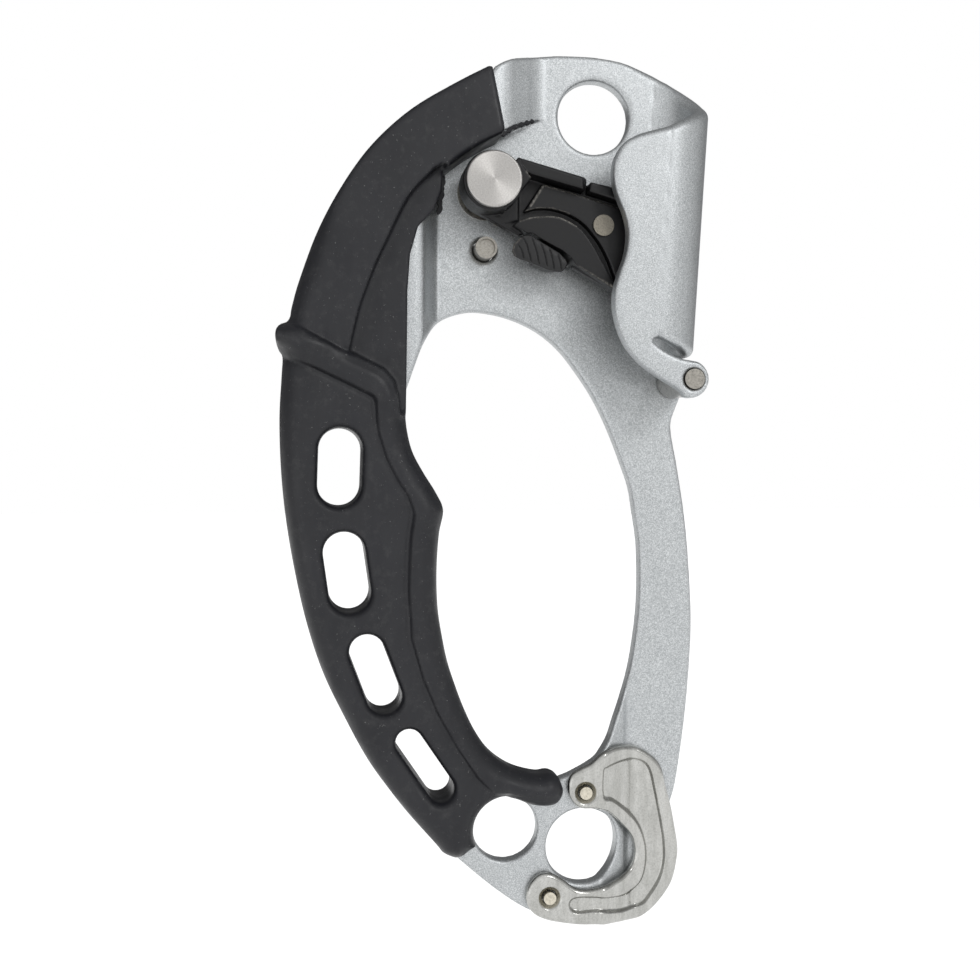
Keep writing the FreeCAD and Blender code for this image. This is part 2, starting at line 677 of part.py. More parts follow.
def make_cam_bush():
    inner = cam_pin_round + running_fit
    return tube(cam_pivot, inner + bush_wall, inner, head_back(), plate_front - washer_thick)


def make_cam_pivot_rivet():
    head = post(cam_pivot, head_round, head_back() - head_thick, head_back())
    rim = [edge for edge in head.Edges if abs(edge.CenterOfMass.y - head_back() + head_thick) < running_fit]
    head = head.makeFillet(head_rim_round, rim)
    end_front = plate_back + rivet_washer_thick
    shank = post(cam_pivot, cam_pin_round, head_back(), end_front)
    end = post(cam_pivot, rivet_end_round, end_front, end_front + rivet_end_thick)
    return head.fuse([shank, end]).removeSplitter()


def make_cam_washer():
    return tube(cam_pivot, washer_round, cam_pin_round + running_fit, plate_front - washer_thick, plate_front)


def make_cam_rivet_washer():
    return tube(cam_pivot, rivet_washer_round, cam_pin_round + running_fit, plate_back, plate_back + rivet_washer_thick)


# Springs

def tangent_arc(start, direction, end):
    """An arc that leaves start along a direction and reaches end."""
    chord = end - start
    sideways = chord - direction * chord.dot(direction)
    radius = chord.Length ** 2 / (2 * sideways.Length)
    centre = start + sideways.normalize() * radius
    middle = (start - centre) + (end - centre)
    middle.normalize()
    return Part.Arc(start, centre + middle * radius, end).toShape()


def biarc(start, start_way, end, end_way):
    """Two arcs that share a tangent, from start to end."""
    span = end - start
    ways = start_way + end_way
    apart = 1 - start_way.dot(end_way)
    reach = (math.sqrt(span.dot(ways) ** 2 + 2 * apart * span.dot(span)) - span.dot(ways)) / (2 * apart)
    middle = (start + start_way * reach + end - end_way * reach) * 0.5
    back = tangent_arc(end, end_way * -1, middle)
    return [tangent_arc(start, start_way, middle), back]


def coil(centre, radius, wire, pitch, turns, y, foot=None):
    """A coil round a Y axis, wound from its front end back, with a leg where a foot is given."""
    def place(quarter):
        angle = math.pi / 2 * quarter
        return Vector(centre[0] + radius * math.cos(angle), y + pitch * quarter / 4, centre[1] - radius * math.sin(angle))

    def way(quarter):
        angle = math.pi / 2 * quarter
        direction = Vector(-radius * math.sin(angle), pitch / 2 / math.pi, -radius * math.cos(angle))
        return direction.normalize()

    edges = []
    quarters = int(turns * 4)
    for quarter in range(quarters):
        edges += biarc(place(quarter), way(quarter), place(quarter + 1), way(quarter + 1))
    if foot is not None:
        edges += foot(place(quarters), way(quarters))
    path = Part.Wire(Part.__sortEdges__(edges))
    ring = Part.Wire(Part.makeCircle(wire / 2, place(0), way(0)))
    body = path.makePipeShell([ring], True, False)
    gap = coil_gap(path, wire)
    return body, gap


def coil_gap(path, wire):
    """The least gap between parts of a tube that lie apart along its path."""
    step = wire / 2
    count = int(path.Length / step)
    points = path.discretize(count)
    apart = int(math.pi * wire / step) + 1
    least = path.Length
    for i in range(count):
        for j in range(i + apart, count):
            least = min(least, points[i].distanceToPoint(points[j]))
    return least - wire


spring_foot_share = (0.058, -0.134)


def spring_foot():
    """Where the cam spring's leg enters the plate."""
    return from_pivot([spring_foot_share])[0]


def spring_leg(end, way):
    """The leg from the last coil out to the plate."""
    foot = spring_foot()
    bend = cam_wire + running_fit
    out = Vector(foot[0], end.y, foot[1]) - end
    straight_way = Vector(out.x, 0, out.z).normalize()
    corner = Vector(foot[0], end.y, foot[1]) - straight_way * bend
    turn_end = Vector(foot[0], end.y + bend, foot[1])
    edges = biarc(end, way, corner, straight_way)
    edges.append(tangent_arc(corner, straight_way, turn_end))
    edges.append(Part.LineSegment(turn_end, Vector(foot[0], plate_front + plate_thick / 2, foot[1])).toShape())
    return edges


def make_cam_spring():
    last = plate_front - washer_thick - cam_wire / 2 - cam_spring_lift
    first = last - cam_coil_pitch * cam_coil_turns
    body, gap = coil(cam_pivot, cam_coil_round, cam_wire, cam_coil_pitch, cam_coil_turns, first, spring_leg)
    print("cam_spring least gap to itself", round(gap, 2))
    return body


def make_catch_spring():
    centre = from_pivot([catch_rivet_share])[0]
    first = catch_front + catch_recess_depth - catch_wire - catch_coil_pitch * catch_coil_turns
    body, gap = coil(centre, catch_coil_round, catch_wire, catch_coil_pitch, catch_coil_turns, first)
    print("catch_spring least gap to itself", round(gap, 2))
    return body


# Safety catch

pad_shares = [(0.122, -0.245), (0.131, -0.236), (0.145, -0.2225), (0.1805, -0.2195), (0.226, -0.247), (0.271, -0.273),
              (0.312, -0.297), (0.340, -0.325), (0.349, -0.3425), (0.340, -0.365), (0.322, -0.381), (0.299, -0.3815),
              (0.258, -0.373), (0.199, -0.350), (0.140, -0.3315), (0.108, -0.317), (0.097, -0.295), (0.104, -0.264)]
pad_core_shares = [(0.210, -0.256), (0.300, -0.305), (0.328, -0.336), (0.316, -0.360), (0.262, -0.352), (0.214, -0.332)]
catch_arm_shares = [(0.466, -0.108), (0.210, -0.256), (0.214, -0.332), (0.262, -0.352), (0.316, -0.360), (0.560, -0.240)]
pad_groove_shares = [
    [(0.124, -0.265), (0.140, -0.288), (0.149, -0.323)], [(0.143, -0.227), (0.1625, -0.261), (0.184, -0.338)],
    [(0.188, -0.237), (0.2055, -0.287), (0.219, -0.348)], [(0.2285, -0.260), (0.244, -0.302), (0.256, -0.355)],
    [(0.268, -0.283), (0.279, -0.3225), (0.2875, -0.368)], [(0.3065, -0.306), (0.315, -0.338), (0.3215, -0.375)]]


def make_safety_catch():
    centre = from_pivot([catch_rivet_share])[0]
    pad = polygon(from_pivot(pad_shares))
    thin = plate(pad, pad_front, pad_tail)
    core = plate(polygon(from_pivot(pad_core_shares)), pad_front, catch_back)
    arm = plate(polygon(from_pivot(catch_arm_shares)), catch_front, catch_back)
    eye = post(centre, catch_eye_round, catch_front, catch_back)
    pin_sweep = post(cam_pivot, stop_pin_reach + stop_pin_round + pin_sweep_gap, pad_tail, catch_back + overrun)
    body = thin.fuse([core.cut(pin_sweep), arm.cut(pin_sweep), eye])
    cuts = [post(centre, catch_pin_round + running_fit, catch_front - overrun, catch_back + overrun),
            post(centre, catch_recess_round, catch_front - overrun, catch_front + catch_recess_depth)]
    for shares in pad_groove_shares:
        line = from_pivot(shares)
        strip = inset(line, -pad_groove_width / 2) + inset(line, pad_groove_width / 2)[::-1]
        cuts.append(plate(polygon(strip), pad_front - overrun, pad_front + pad_groove_depth))
    return body.cut(cuts).removeSplitter()


def make_catch_rivet():
    centre = from_pivot([catch_rivet_share])[0]
    head_face = cam_plate_front - cam_rib_height
    head = post(centre, catch_head_round, head_face - catch_head_thick, head_face)
    tail_front = catch_back + side_gap
    shank = post(centre, catch_pin_round, head_face, tail_front)
    tail = post(centre, catch_head_round, tail_front, tail_front + catch_head_thick)
    return head.fuse([shank, tail]).removeSplitter()


# Stop pin

def stop_pin_place():
    """Straight below the cam's pivot."""
    return (cam_pivot[0], cam_pivot[1] - stop_pin_reach)


def make_stop_pin():
    centre = stop_pin_place()
    front = plate_front - stop_pin_height
    pin = post(centre, stop_pin_round, front, plate_back)
    return pin.cut(post(centre, stop_pin_cup_round, front - overrun, front + stop_pin_cup_depth))


# Roller

def roller_centre():
    return placed([roller_centre_share])[0]


def make_roller_axle():
    return post(roller_centre(), axle_round, flap_front - axle_proud, plate_back + axle_proud)


def make_roller_bush():
    inner = axle_round + running_fit
    return tube(roller_centre(), inner + roller_bush_wall, inner,
                flap_back + roller_washer_thick, plate_front - roller_washer_thick)


def make_roller():
    inner = axle_round + roller_bush_wall + 2 * running_fit
    gap = roller_washer_thick + side_gap
    return tube(roller_centre(), roller_round, inner, flap_back + gap, plate_front - gap)


def make_roller_washer(front):
    return tube(roller_centre(), roller_washer_round, axle_round + running_fit, front, front + roller_washer_thick)


# Connector plate

connector_rivet_shares = ((-0.169, -0.622), (-0.253, -0.7415))
connector_outer_shares = [
    (-0.211, -0.611), (-0.203, -0.6005), (-0.184, -0.5945), (-0.158, -0.5885), (-0.133, -0.578), (-0.110, -0.5735),
    (-0.079, -0.5725), (-0.041, -0.576), (-0.009, -0.584), (0.018, -0.5955), (0.031, -0.6085), (0.038, -0.6245),
    (0.051, -0.649), (0.061, -0.675), (0.068, -0.6975), (0.066, -0.7135), (0.055, -0.7375), (0.032, -0.7565),
    (-0.001, -0.7735), (-0.034, -0.782), (-0.070, -0.781), (-0.132, -0.7765), (-0.183, -0.775), (-0.231, -0.771),
    (-0.262, -0.767), (-0.287, -0.7605), (-0.303, -0.7505), (-0.308, -0.738), (-0.300, -0.7245), (-0.278, -0.714),
    (-0.253, -0.713), (-0.228, -0.719), (-0.202, -0.729), (-0.183, -0.7335), (-0.158, -0.7345), (-0.132, -0.7325),
    (-0.094, -0.729), (-0.066, -0.725), (-0.047, -0.7175), (-0.039, -0.705), (-0.041, -0.692), (-0.050, -0.6805),
    (-0.071, -0.668), (-0.094, -0.656), (-0.118, -0.6455), (-0.146, -0.6415), (-0.177, -0.6405), (-0.196, -0.6345),
    (-0.209, -0.623), (-0.211, -0.611)]
connector_recess_shares = [
    (-0.131, -0.602), (-0.109, -0.592), (-0.085, -0.590), (-0.049, -0.592), (-0.023, -0.594), (-0.005, -0.602),
    (0.008, -0.617), (0.016, -0.633), (0.030, -0.6575), (0.038, -0.682), (0.043, -0.698), (0.042, -0.7175),
    (0.030, -0.735), (0.011, -0.749), (-0.016, -0.7625), (-0.045, -0.7715), (-0.076, -0.7705), (-0.131, -0.7605),
    (-0.182, -0.7615), (-0.206, -0.753), (-0.185, -0.7465), (-0.131, -0.7465), (-0.076, -0.7505), (-0.049, -0.7475),
    (-0.029, -0.7385), (-0.013, -0.726), (-0.004, -0.7115), (-0.005, -0.697), (-0.013, -0.6825), (-0.026, -0.671),
    (-0.053, -0.657), (-0.093, -0.6395), (-0.126, -0.630), (-0.138, -0.616), (-0.131, -0.602)]


def closed_curve(points):
    """A smooth closed face through the points, the last being the first again."""
    spline = Part.BSplineCurve()
    spline.interpolate(Points=[flat(p) for p in points[:-1]], PeriodicFlag=True)
    return Part.Face(Part.Wire(spline.toShape()))


def make_connector_plate():
    places = step_places(foot_step_shares)
    low = -blank_height
    high = foot_zone_top_share * blank_height
    blank = plate(closed_curve(placed(connector_outer_shares)), flap_front, plate_back)
    body = blank.common(stepped_slab(places[0], places[1], connector_thick, connector_thick, low, high))
    recess = plate(closed_curve(placed(connector_recess_shares)), flap_front, plate_back)
    skin = stepped_slab(places[0], places[1], connector_thick + connector_recess_depth, 2 * connector_thick, low, high)
    body = body.cut(recess.common(skin))
    front = handle_front - connector_thick
    for centre in placed(connector_rivet_shares):
        slope = connector_dish_round - connector_rivet_round
        dish = Part.makeCone(connector_dish_round, connector_dish_round - slope, connector_dish_depth,
                             Vector(centre[0], front, centre[1]), Vector(0, 1, 0))
        body = body.cut([dish, post(centre, connector_rivet_round + running_fit, front - overrun, plate_back)])
    return body


def make_connector_rivet(centre):
    front = handle_front - connector_thick - connector_head_proud
    end_front = handle_back + back_washer_thick
    shank = post(centre, connector_rivet_round, front, end_front)
    return shank.fuse(post(centre, closed_end_round, end_front, end_front + closed_end_thick)).removeSplitter()


def make_rivet_washer(centre):
    return tube(centre, back_washer_round, connector_rivet_round + running_fit, handle_back,
                handle_back + back_washer_thick)


frame_solid = make_frame()
upper_rivet, lower_rivet = placed(connector_rivet_shares)
write("frame", frame_solid)
write("grip", make_grip(frame_solid))
write("cam", make_cam())
write("cam_pivot_rivet", make_cam_pivot_rivet())
write("cam_bush", make_cam_bush())
write("cam_washer", make_cam_washer())
write("cam_rivet_washer", make_cam_rivet_washer())
write("cam_spring", make_cam_spring())
write("safety_catch", make_safety_catch())
write("catch_rivet", make_catch_rivet())
write("catch_spring", make_catch_spring())
write("stop_pin", make_stop_pin())
write("roller", make_roller())
write("roller_axle", make_roller_axle())
write("roller_bush", make_roller_bush())
write("roller_washer_front", make_roller_washer(flap_back))
write("roller_washer_back", make_roller_washer(plate_front - roller_washer_thick))
write("connector_plate", make_connector_plate())
write("connector_rivet_upper", make_connector_rivet(upper_rivet))
write("connector_rivet_lower", make_connector_rivet(lower_rivet))
write("rivet_washer_upper", make_rivet_washer(upper_rivet))
write("rivet_washer_lower", make_rivet_washer(lower_rivet))
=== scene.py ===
"""Left-hand handled ascender: visible pieces, materials, light and camera.

Shapes are worked out in millimetres in the part's own frame and turned into
metres when a mesh is made.
"""
import bpy
import math
import numpy as np
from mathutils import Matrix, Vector


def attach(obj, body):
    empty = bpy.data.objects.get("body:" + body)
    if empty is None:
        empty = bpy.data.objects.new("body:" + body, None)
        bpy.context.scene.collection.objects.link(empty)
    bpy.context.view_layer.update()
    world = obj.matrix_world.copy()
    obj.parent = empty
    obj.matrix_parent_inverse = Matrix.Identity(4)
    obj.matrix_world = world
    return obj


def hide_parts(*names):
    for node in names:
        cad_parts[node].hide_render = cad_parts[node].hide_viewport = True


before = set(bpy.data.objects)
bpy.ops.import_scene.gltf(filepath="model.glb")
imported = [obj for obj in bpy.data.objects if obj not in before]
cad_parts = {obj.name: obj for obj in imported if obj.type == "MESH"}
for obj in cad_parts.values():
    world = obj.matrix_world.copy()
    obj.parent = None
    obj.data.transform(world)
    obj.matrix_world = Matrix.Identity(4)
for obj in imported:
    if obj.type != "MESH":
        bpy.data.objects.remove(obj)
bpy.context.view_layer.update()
MM = 0.001
INF = 1e6
SOFT_EDGE = 0.12 * MM
SOFT_ANGLE = math.radians(50)


# Lines and distances in the XZ plane

def smooth(points, steps=6, closed=False):
    """Catmull-Rom points through the given ones."""
    p = np.array(points, float)
    if closed:
        p = np.vstack([p[-1:], p, p[:2]])
    else:
        p = np.vstack([2 * p[0] - p[1], p, 2 * p[-1] - p[-2]])
    out = []
    t = np.arange(steps)[:, None] / steps
    for a, b, c, d in zip(p, p[1:], p[2:], p[3:]):
        square = 2 * a - 5 * b + 4 * c - d
        cube = 3 * b - a - 3 * c + d
        out.append(0.5 * (2 * b + (c - a) * t + square * t ** 2 + cube * t ** 3))
    if not closed:
        out.append(p[-2:-1])
    return np.vstack(out)


def joined(*runs):
    """One closed outline from several smooth or straight runs."""
    return np.vstack([np.array(run, float) for run in runs])


def polygon(points, x, z):
    """Signed distance to a closed outline, negative inside."""
    p = np.array(points, float)
    q = np.roll(p, -1, 0)
    best = np.full(np.broadcast(x, z).shape, INF)
    inside = np.zeros(best.shape, bool)
    for (ax, az), (bx, bz) in zip(p, q):
        ex, ez = bx - ax, bz - az
        size = ex * ex + ez * ez
        if size < 1e-12:
            continue
        wx, wz = x - ax, z - az
        t = np.clip((wx * ex + wz * ez) / size, 0, 1)
        best = np.minimum(best, (wx - ex * t) ** 2 + (wz - ez * t) ** 2)
        if ez != 0:
            inside ^= ((az <= z) != (bz <= z)) & (x < ex * (z - az) / ez + ax)
    return np.where(inside, -1, 1) * np.sqrt(best)


def line_distance(points, x, z):
    """Distance to an open line."""
    p = np.array(points, float)
    best = np.full(np.broadcast(x, z).shape, INF)
    for (ax, az), (bx, bz) in zip(p, p[1:]):
        ex, ez = bx - ax, bz - az
        wx, wz = x - ax, z - az
        t = np.clip((wx * ex + wz * ez) / (ex * ex + ez * ez), 0, 1)
        best = np.minimum(best, (wx - ex * t) ** 2 + (wz - ez * t) ** 2)
    return np.sqrt(best)


def circle(centre, r, x, z):
    """Signed distance to a circle."""
    return np.hypot(x - centre[0], z - centre[1]) - r


def obround(centre, length, width, lean, x, z):
    """Distance to a slot with round ends, leaning from Z towards +X."""
    a = math.radians(lean)
    h = (length - width) / 2
    dx, dz = x - centre[0], z - centre[1]
    u = dx * math.cos(a) - dz * math.sin(a)
    v = dx * math.sin(a) + dz * math.cos(a)
    return np.hypot(u, v - np.clip(v, -h, h)) - width / 2


def both(a, b, r):
    """Where both hold, with the shared edge rounded by r."""
    u = a + r
    v = b + r
    return np.minimum(np.maximum(u, v), 0) + np.hypot(np.maximum(u, 0), np.maximum(v, 0)) - r


def either(a, b, r):
    """Where one holds, with the inner corner filled by r."""
    return -both(-a, -b, r)


def step(t):
    """A smooth rise from 0 to 1 while t does so."""
    t = np.clip(t, 0, 1)
    return t * t * (3 - 2 * t)


# Meshes from distances

def net(distance, low, high, h):
    """A closed quad mesh where the distance is zero."""
    axes = [np.arange(a, b + h, h) for a, b in zip(low, high)]
    x = axes[0][:, None, None]
    y = axes[1][None, :, None]
    z = axes[2][None, None, :]
    f = np.broadcast_to(distance(x, y, z), [len(a) for a in axes]).astype(np.float32)
    s = f < 0
    corners = [(i, j, k) for i in (0, 1) for j in (0, 1) for k in (0, 1)]
    n = [len(a) - 1 for a in axes]

    def part(array, c):
        return array[c[0]:c[0] + n[0], c[1]:c[1] + n[1], c[2]:c[2] + n[2]]

    count = sum(part(s, c).astype(np.int8) for c in corners)
    active = np.argwhere((count > 0) & (count < 8))
    number = np.full(n, -1, np.int32)
    number[tuple(active.T)] = np.arange(len(active))
    total = np.zeros((len(active), 3))
    hits = np.zeros(len(active))
    for a in corners:
        for axis in range(3):
            if a[axis]:
                continue
            b = list(a)
            b[axis] = 1
            fa = f[tuple((active + a).T)]
            fb = f[tuple((active + b).T)]
            cross = (fa < 0) != (fb < 0)
            t = np.where(cross, fa / np.where(cross, fa - fb, 1), 0)
            place = np.tile(np.array(a, float), (len(active), 1))
            place[:, axis] = t
            total += np.where(cross[:, None], place, 0)
            hits += cross
    points = (active + total / hits[:, None]) * h + [a[0] for a in axes]
    quads = []
    for axis in range(3):
        one, two = [k for k in range(3) if k != axis]
        lo = [slice(None)] * 3
        hi = [slice(None)] * 3
        lo[axis] = slice(0, -1)
        hi[axis] = slice(1, None)
        sa = s[tuple(lo)]
        cross = np.argwhere(sa != s[tuple(hi)])
        ok = (cross[:, one] > 0) & (cross[:, two] > 0) & (cross[:, one] < n[one]) & (cross[:, two] < n[two])
        cross = cross[ok]
        ring = []
        for da, db in ((-1, -1), (0, -1), (0, 0), (-1, 0)):
            cell = cross.copy()
            cell[:, one] += da
            cell[:, two] += db
            ring.append(number[tuple(cell.T)])
        ring = np.stack(ring, 1)
        flip = sa[tuple(cross.T)] == (axis == 1)
        ring[flip] = ring[flip][:, ::-1]
        quads.append(ring)
    return points, np.vstack(quads)


def add_mesh(name, points, faces, material, body, replaced):
    """A smooth-shaded piece that rides on a body."""
    mesh = bpy.data.meshes.new(name)
    points = np.asarray(points, np.float32) * MM
    faces = np.asarray(faces, np.int32)
    mesh.vertices.add(len(points))
    mesh.vertices.foreach_set("co", points.ravel())
    mesh.loops.add(faces.size)
    mesh.loops.foreach_set("vertex_index", faces.ravel())
    mesh.polygons.add(len(faces))
    mesh.polygons.foreach_set("loop_start", np.arange(len(faces), dtype=np.int32) * faces.shape[1])
    mesh.update(calc_edges=True)
    mesh.validate()
    mesh.shade_smooth()
    piece = bpy.data.objects.new(name, mesh)
    bpy.context.scene.collection.objects.link(piece)
    mesh.materials.append(material)
    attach(piece, body)
    if replaced:
        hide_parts(*replaced)
    return piece


# Materials

def new_material(name, color, metallic, roughness):
    """A material with its node tree and its shader."""
    material = bpy.data.materials.new(name)
    material.use_nodes = True
    shader = material.node_tree.nodes["Principled BSDF"]
    shader.inputs["Base Color"].default_value = (*color, 1)
    shader.inputs["Metallic"].default_value = metallic
    shader.inputs["Roughness"].default_value = roughness
    return material, material.node_tree, shader


def add_node(tree, kind, **values):
    """A node with some of its inputs or settings given."""
    made = tree.nodes.new(kind)
    for key, value in values.items():
        if key in made.inputs:
            made.inputs[key].default_value = value
        else:
            setattr(made, key, value)
    return made


def noise(tree, scale, detail=3.0, roughness=0.5, stretch=None):
    """Noise in metres, so its grain has a real size."""
    place = add_node(tree, "ShaderNodeNewGeometry")
    out = place.outputs["Position"]
    if stretch:
        mapping = add_node(tree, "ShaderNodeMapping")
        mapping.inputs["Scale"].default_value = stretch
        tree.links.new(out, mapping.inputs["Vector"])
        out = mapping.outputs["Vector"]
    texture = add_node(tree, "ShaderNodeTexNoise", Scale=scale, Detail=detail, Roughness=roughness)
    tree.links.new(out, texture.inputs["Vector"])
    return texture.outputs["Fac"]


def ramp(tree, value, stops):
    """Colours for a value, from places between 0 and 1."""
    made = add_node(tree, "ShaderNodeValToRGB")
    for i, (place, color) in enumerate(stops):
        while len(made.color_ramp.elements) <= i:
            made.color_ramp.elements.new(1.0)
        made.color_ramp.elements[i].position = place
        made.color_ramp.elements[i].color = (*color, 1)
    tree.links.new(value, made.inputs["Fac"])
    return made.outputs["Color"]


def grey(v):
    return (v, v, v)


def bump(tree, shader, value, distance, strength):
    """Fine grain in metres that only turns the light."""
    made = add_node(tree, "ShaderNodeBump", Strength=strength, Distance=distance)
    tree.links.new(value, made.inputs["Height"])
    tree.links.new(made.outputs["Normal"], shader.inputs["Normal"])


def mixed(tree, kind, a, b, factor):
    """Two colours put together, each a value or a socket."""
    made = add_node(tree, "ShaderNodeMix", data_type="RGBA", blend_type=kind)
    for value, socket in ((factor, made.inputs[0]), (a, made.inputs[6]), (b, made.inputs[7])):
        if isinstance(value, bpy.types.NodeSocket):
            tree.links.new(value, socket)
        else:
            socket.default_value = value
    return made.outputs[2]


def blasted_aluminium():
    """Light silver with a fine glittering grain."""
    material, tree, shader = new_material("blasted_aluminium", (0.52, 0.54, 0.55), 0.80, 0.42)
    grain = noise(tree, 4200, 3, 0.75)
    patches = noise(tree, 130, 3, 0.55)
    speck = ramp(tree, grain, [(0.34, (0.32, 0.34, 0.35)), (0.50, (0.51, 0.53, 0.54)),
                               (0.66, (0.76, 0.78, 0.79))])
    tone = ramp(tree, patches, [(0.3, grey(0.95)), (0.7, grey(1.0))])
    tree.links.new(mixed(tree, "MULTIPLY", speck, tone, 1.0), shader.inputs["Base Color"])
    rough = ramp(tree, grain, [(0.3, grey(0.36)), (0.7, grey(0.50))])
    tree.links.new(rough, shader.inputs["Roughness"])
    bump(tree, shader, noise(tree, 2600, 3, 0.7), 0.00006, 0.5)
    return material


def moulded_rubber():
    """Matt black rubber with pale dust, scuffs and a fine grain."""
    material, tree, shader = new_material("moulded_rubber", (0.022, 0.022, 0.024), 0.0, 0.55)
    shader.inputs["Specular IOR Level"].default_value = 0.40
    wide = noise(tree, 55, 4, 0.6)
    dust = noise(tree, 420, 6, 0.7)
    specks = noise(tree, 1500, 3, 0.6)
    scuff = noise(tree, 240, 3, 0.6, (1.0, 1.0, 0.35))
    base = ramp(tree, wide, [(0.35, (0.0115, 0.0120, 0.0155)), (0.65, (0.0190, 0.0196, 0.0240))])
    pale = ramp(tree, dust, [(0.52, grey(0.0)), (0.76, grey(0.50))])
    color = mixed(tree, "MIX", base, (0.060, 0.060, 0.062, 1), pale)
    bright = ramp(tree, specks, [(0.67, grey(0.0)), (0.74, grey(0.8))])
    color = mixed(tree, "MIX", color, (0.16, 0.16, 0.16, 1), bright)
    tree.links.new(color, shader.inputs["Base Color"])
    rough = ramp(tree, scuff, [(0.35, grey(0.36)), (0.65, grey(0.54))])
    tree.links.new(rough, shader.inputs["Roughness"])
    bump(tree, shader, noise(tree, 1500, 4, 0.6), 0.00004, 0.5)
    return material


def black_coat_with_lit_edges(name, worn_and_lit, coat):
    """Black coated steel whose marked edges are painted pale: bare metal where the coat is rubbed off, and
    also a painted edge highlight.
    """
    material, tree, shader = new_material(name, coat, 0.0, 0.42)
    shader.inputs["Specular IOR Level"].default_value = 0.32
    grain = noise(tree, 1800, 3, 0.6)
    patch = noise(tree, 1500, 4, 0.7)
    wear_and_highlight_mark = add_node(tree, "ShaderNodeAttribute", attribute_name="wear_and_highlight")
    wear_and_highlight_mask = add_node(tree, "ShaderNodeMath", operation="MULTIPLY")
    tree.links.new(wear_and_highlight_mark.outputs["Fac"], wear_and_highlight_mask.inputs[0])
    bare_and_highlight = ramp(tree, patch, [(0.44, grey(0.15)), (0.60, grey(worn_and_lit * 2))])
    tree.links.new(bare_and_highlight, wear_and_highlight_mask.inputs[1])
    # Pale bare-metal colour along the marked edges: partly rubbed-off coat, partly a painted edge highlight.
    color = mixed(tree, "MIX", coat + (1,), (0.42, 0.40, 0.36, 1), wear_and_highlight_mask.outputs[0])
    tree.links.new(color, shader.inputs["Base Color"])
    tree.links.new(ramp(tree, grain, [(0.3, grey(0.32)), (0.7, grey(0.50))]), shader.inputs["Roughness"])
    bump(tree, shader, grain, 0.00003, 0.5)
    return material


def turned_steel():
    """Stainless steel faced on a lathe, with its light in a fan."""
    material, tree, shader = new_material("turned_steel", (0.50, 0.485, 0.465), 1.0, 0.42)
    shader.inputs["Anisotropic"].default_value = 0.72
    tangent = add_node(tree, "ShaderNodeTangent", direction_type="RADIAL", axis="Y")
    tree.links.new(tangent.outputs[0], shader.inputs["Tangent"])
    grain = noise(tree, 3200, 3, 0.6)
    tone = ramp(tree, grain, [(0.35, (0.40, 0.387, 0.372)), (0.65, (0.51, 0.497, 0.48))])
    tree.links.new(tone, shader.inputs["Base Color"])
    bump(tree, shader, grain, 0.00001, 0.4)
    return material


def pressed_steel():
    """Bright pressed stainless steel with a fine blasted grain."""
    material, tree, shader = new_material("pressed_steel", (0.47, 0.47, 0.45), 1.0, 0.20)
    fine = noise(tree, 2600, 4, 0.7)
    streaks = noise(tree, 500, 4, 0.6, (1.0, 1.0, 0.25))
    tone = ramp(tree, streaks, [(0.35, (0.41, 0.41, 0.39)), (0.65, (0.52, 0.52, 0.50))])
    pits = ramp(tree, fine, [(0.34, grey(0.78)), (0.56, grey(1.0))])
    color = mixed(tree, "MULTIPLY", tone, pits, 1.0)
    tree.links.new(color, shader.inputs["Base Color"])
    tree.links.new(ramp(tree, fine, [(0.3, grey(0.12)), (0.7, grey(0.24))]), shader.inputs["Roughness"])
    bump(tree, shader, fine, 0.00003, 0.5)
    return material


def dull_steel(name, color, roughness):
    """Rivets, pins and rings: steel with small pits and marks."""
    material, tree, shader = new_material(name, color, 1.0, roughness)
    fine = noise(tree, 2200, 4, 0.65)
    low = tuple(c * 0.72 for c in color)
    high = tuple(min(c * 1.15, 1) for c in color)
    tree.links.new(ramp(tree, fine, [(0.32, low), (0.62, high)]), shader.inputs["Base Color"])
    rough = ramp(tree, fine, [(0.3, grey(roughness * 0.75)), (0.7, grey(roughness * 1.3))])
    tree.links.new(rough, shader.inputs["Roughness"])
    bump(tree, shader, fine, 0.00005, 0.6)
    return material


aluminium = blasted_aluminium()
rubber = moulded_rubber()
cam_black = black_coat_with_lit_edges("cam_black", 0.4, (0.010, 0.010, 0.011))
catch_black = black_coat_with_lit_edges("catch_black", 0.3, (0.024, 0.024, 0.025))
turned = turned_steel()
pressed = pressed_steel()
rivet_steel = dull_steel("rivet_steel", (0.32, 0.305, 0.275), 0.34)
worn_rivet = dull_steel("worn_rivet", (0.20, 0.185, 0.155), 0.36)
bright_rivet = dull_steel("bright_rivet", (0.60, 0.56, 0.47), 0.30)
roller_steel = dull_steel("roller_steel", (0.34, 0.335, 0.32), 0.30)
spring_brass = dull_steel("spring_wire", (0.62, 0.50, 0.30), 0.25)


# Frame: one folded plate with steps in it

LEAN = math.radians(3.6)
PLATE = 4.0
JOGGLE = 6.0
HANDLE_FRONT = 1.0
MID_FOLD = 9.0
FOLD_SHIFT = 1.75
FRAME_CELL = 0.42
EDGE = 0.85
TOP_EDGE_EXTRA = 1.05
FLAP_EDGE_EXTRA = 1.35
FOLD_EDGE = 1.9
GRIP_WRAP = 2.5
SLOT_LINING = 1.3
AXLE_HOLE = 2.3
PIN_HOLE = 2.6
ZONE_OVERLAP = 0.1
SIDE_ZONE_FOOT = -62
FAR = 200

# Each step of the plate: its start and end in X and its bend's radius
TOP_RAMP = (-35.5, -26.3, 8.0)
SIDE_RAMP = (-54.3, -50.3, 3.0)
FOOT_RAMP = (-12.9, -4.8, 2.6)

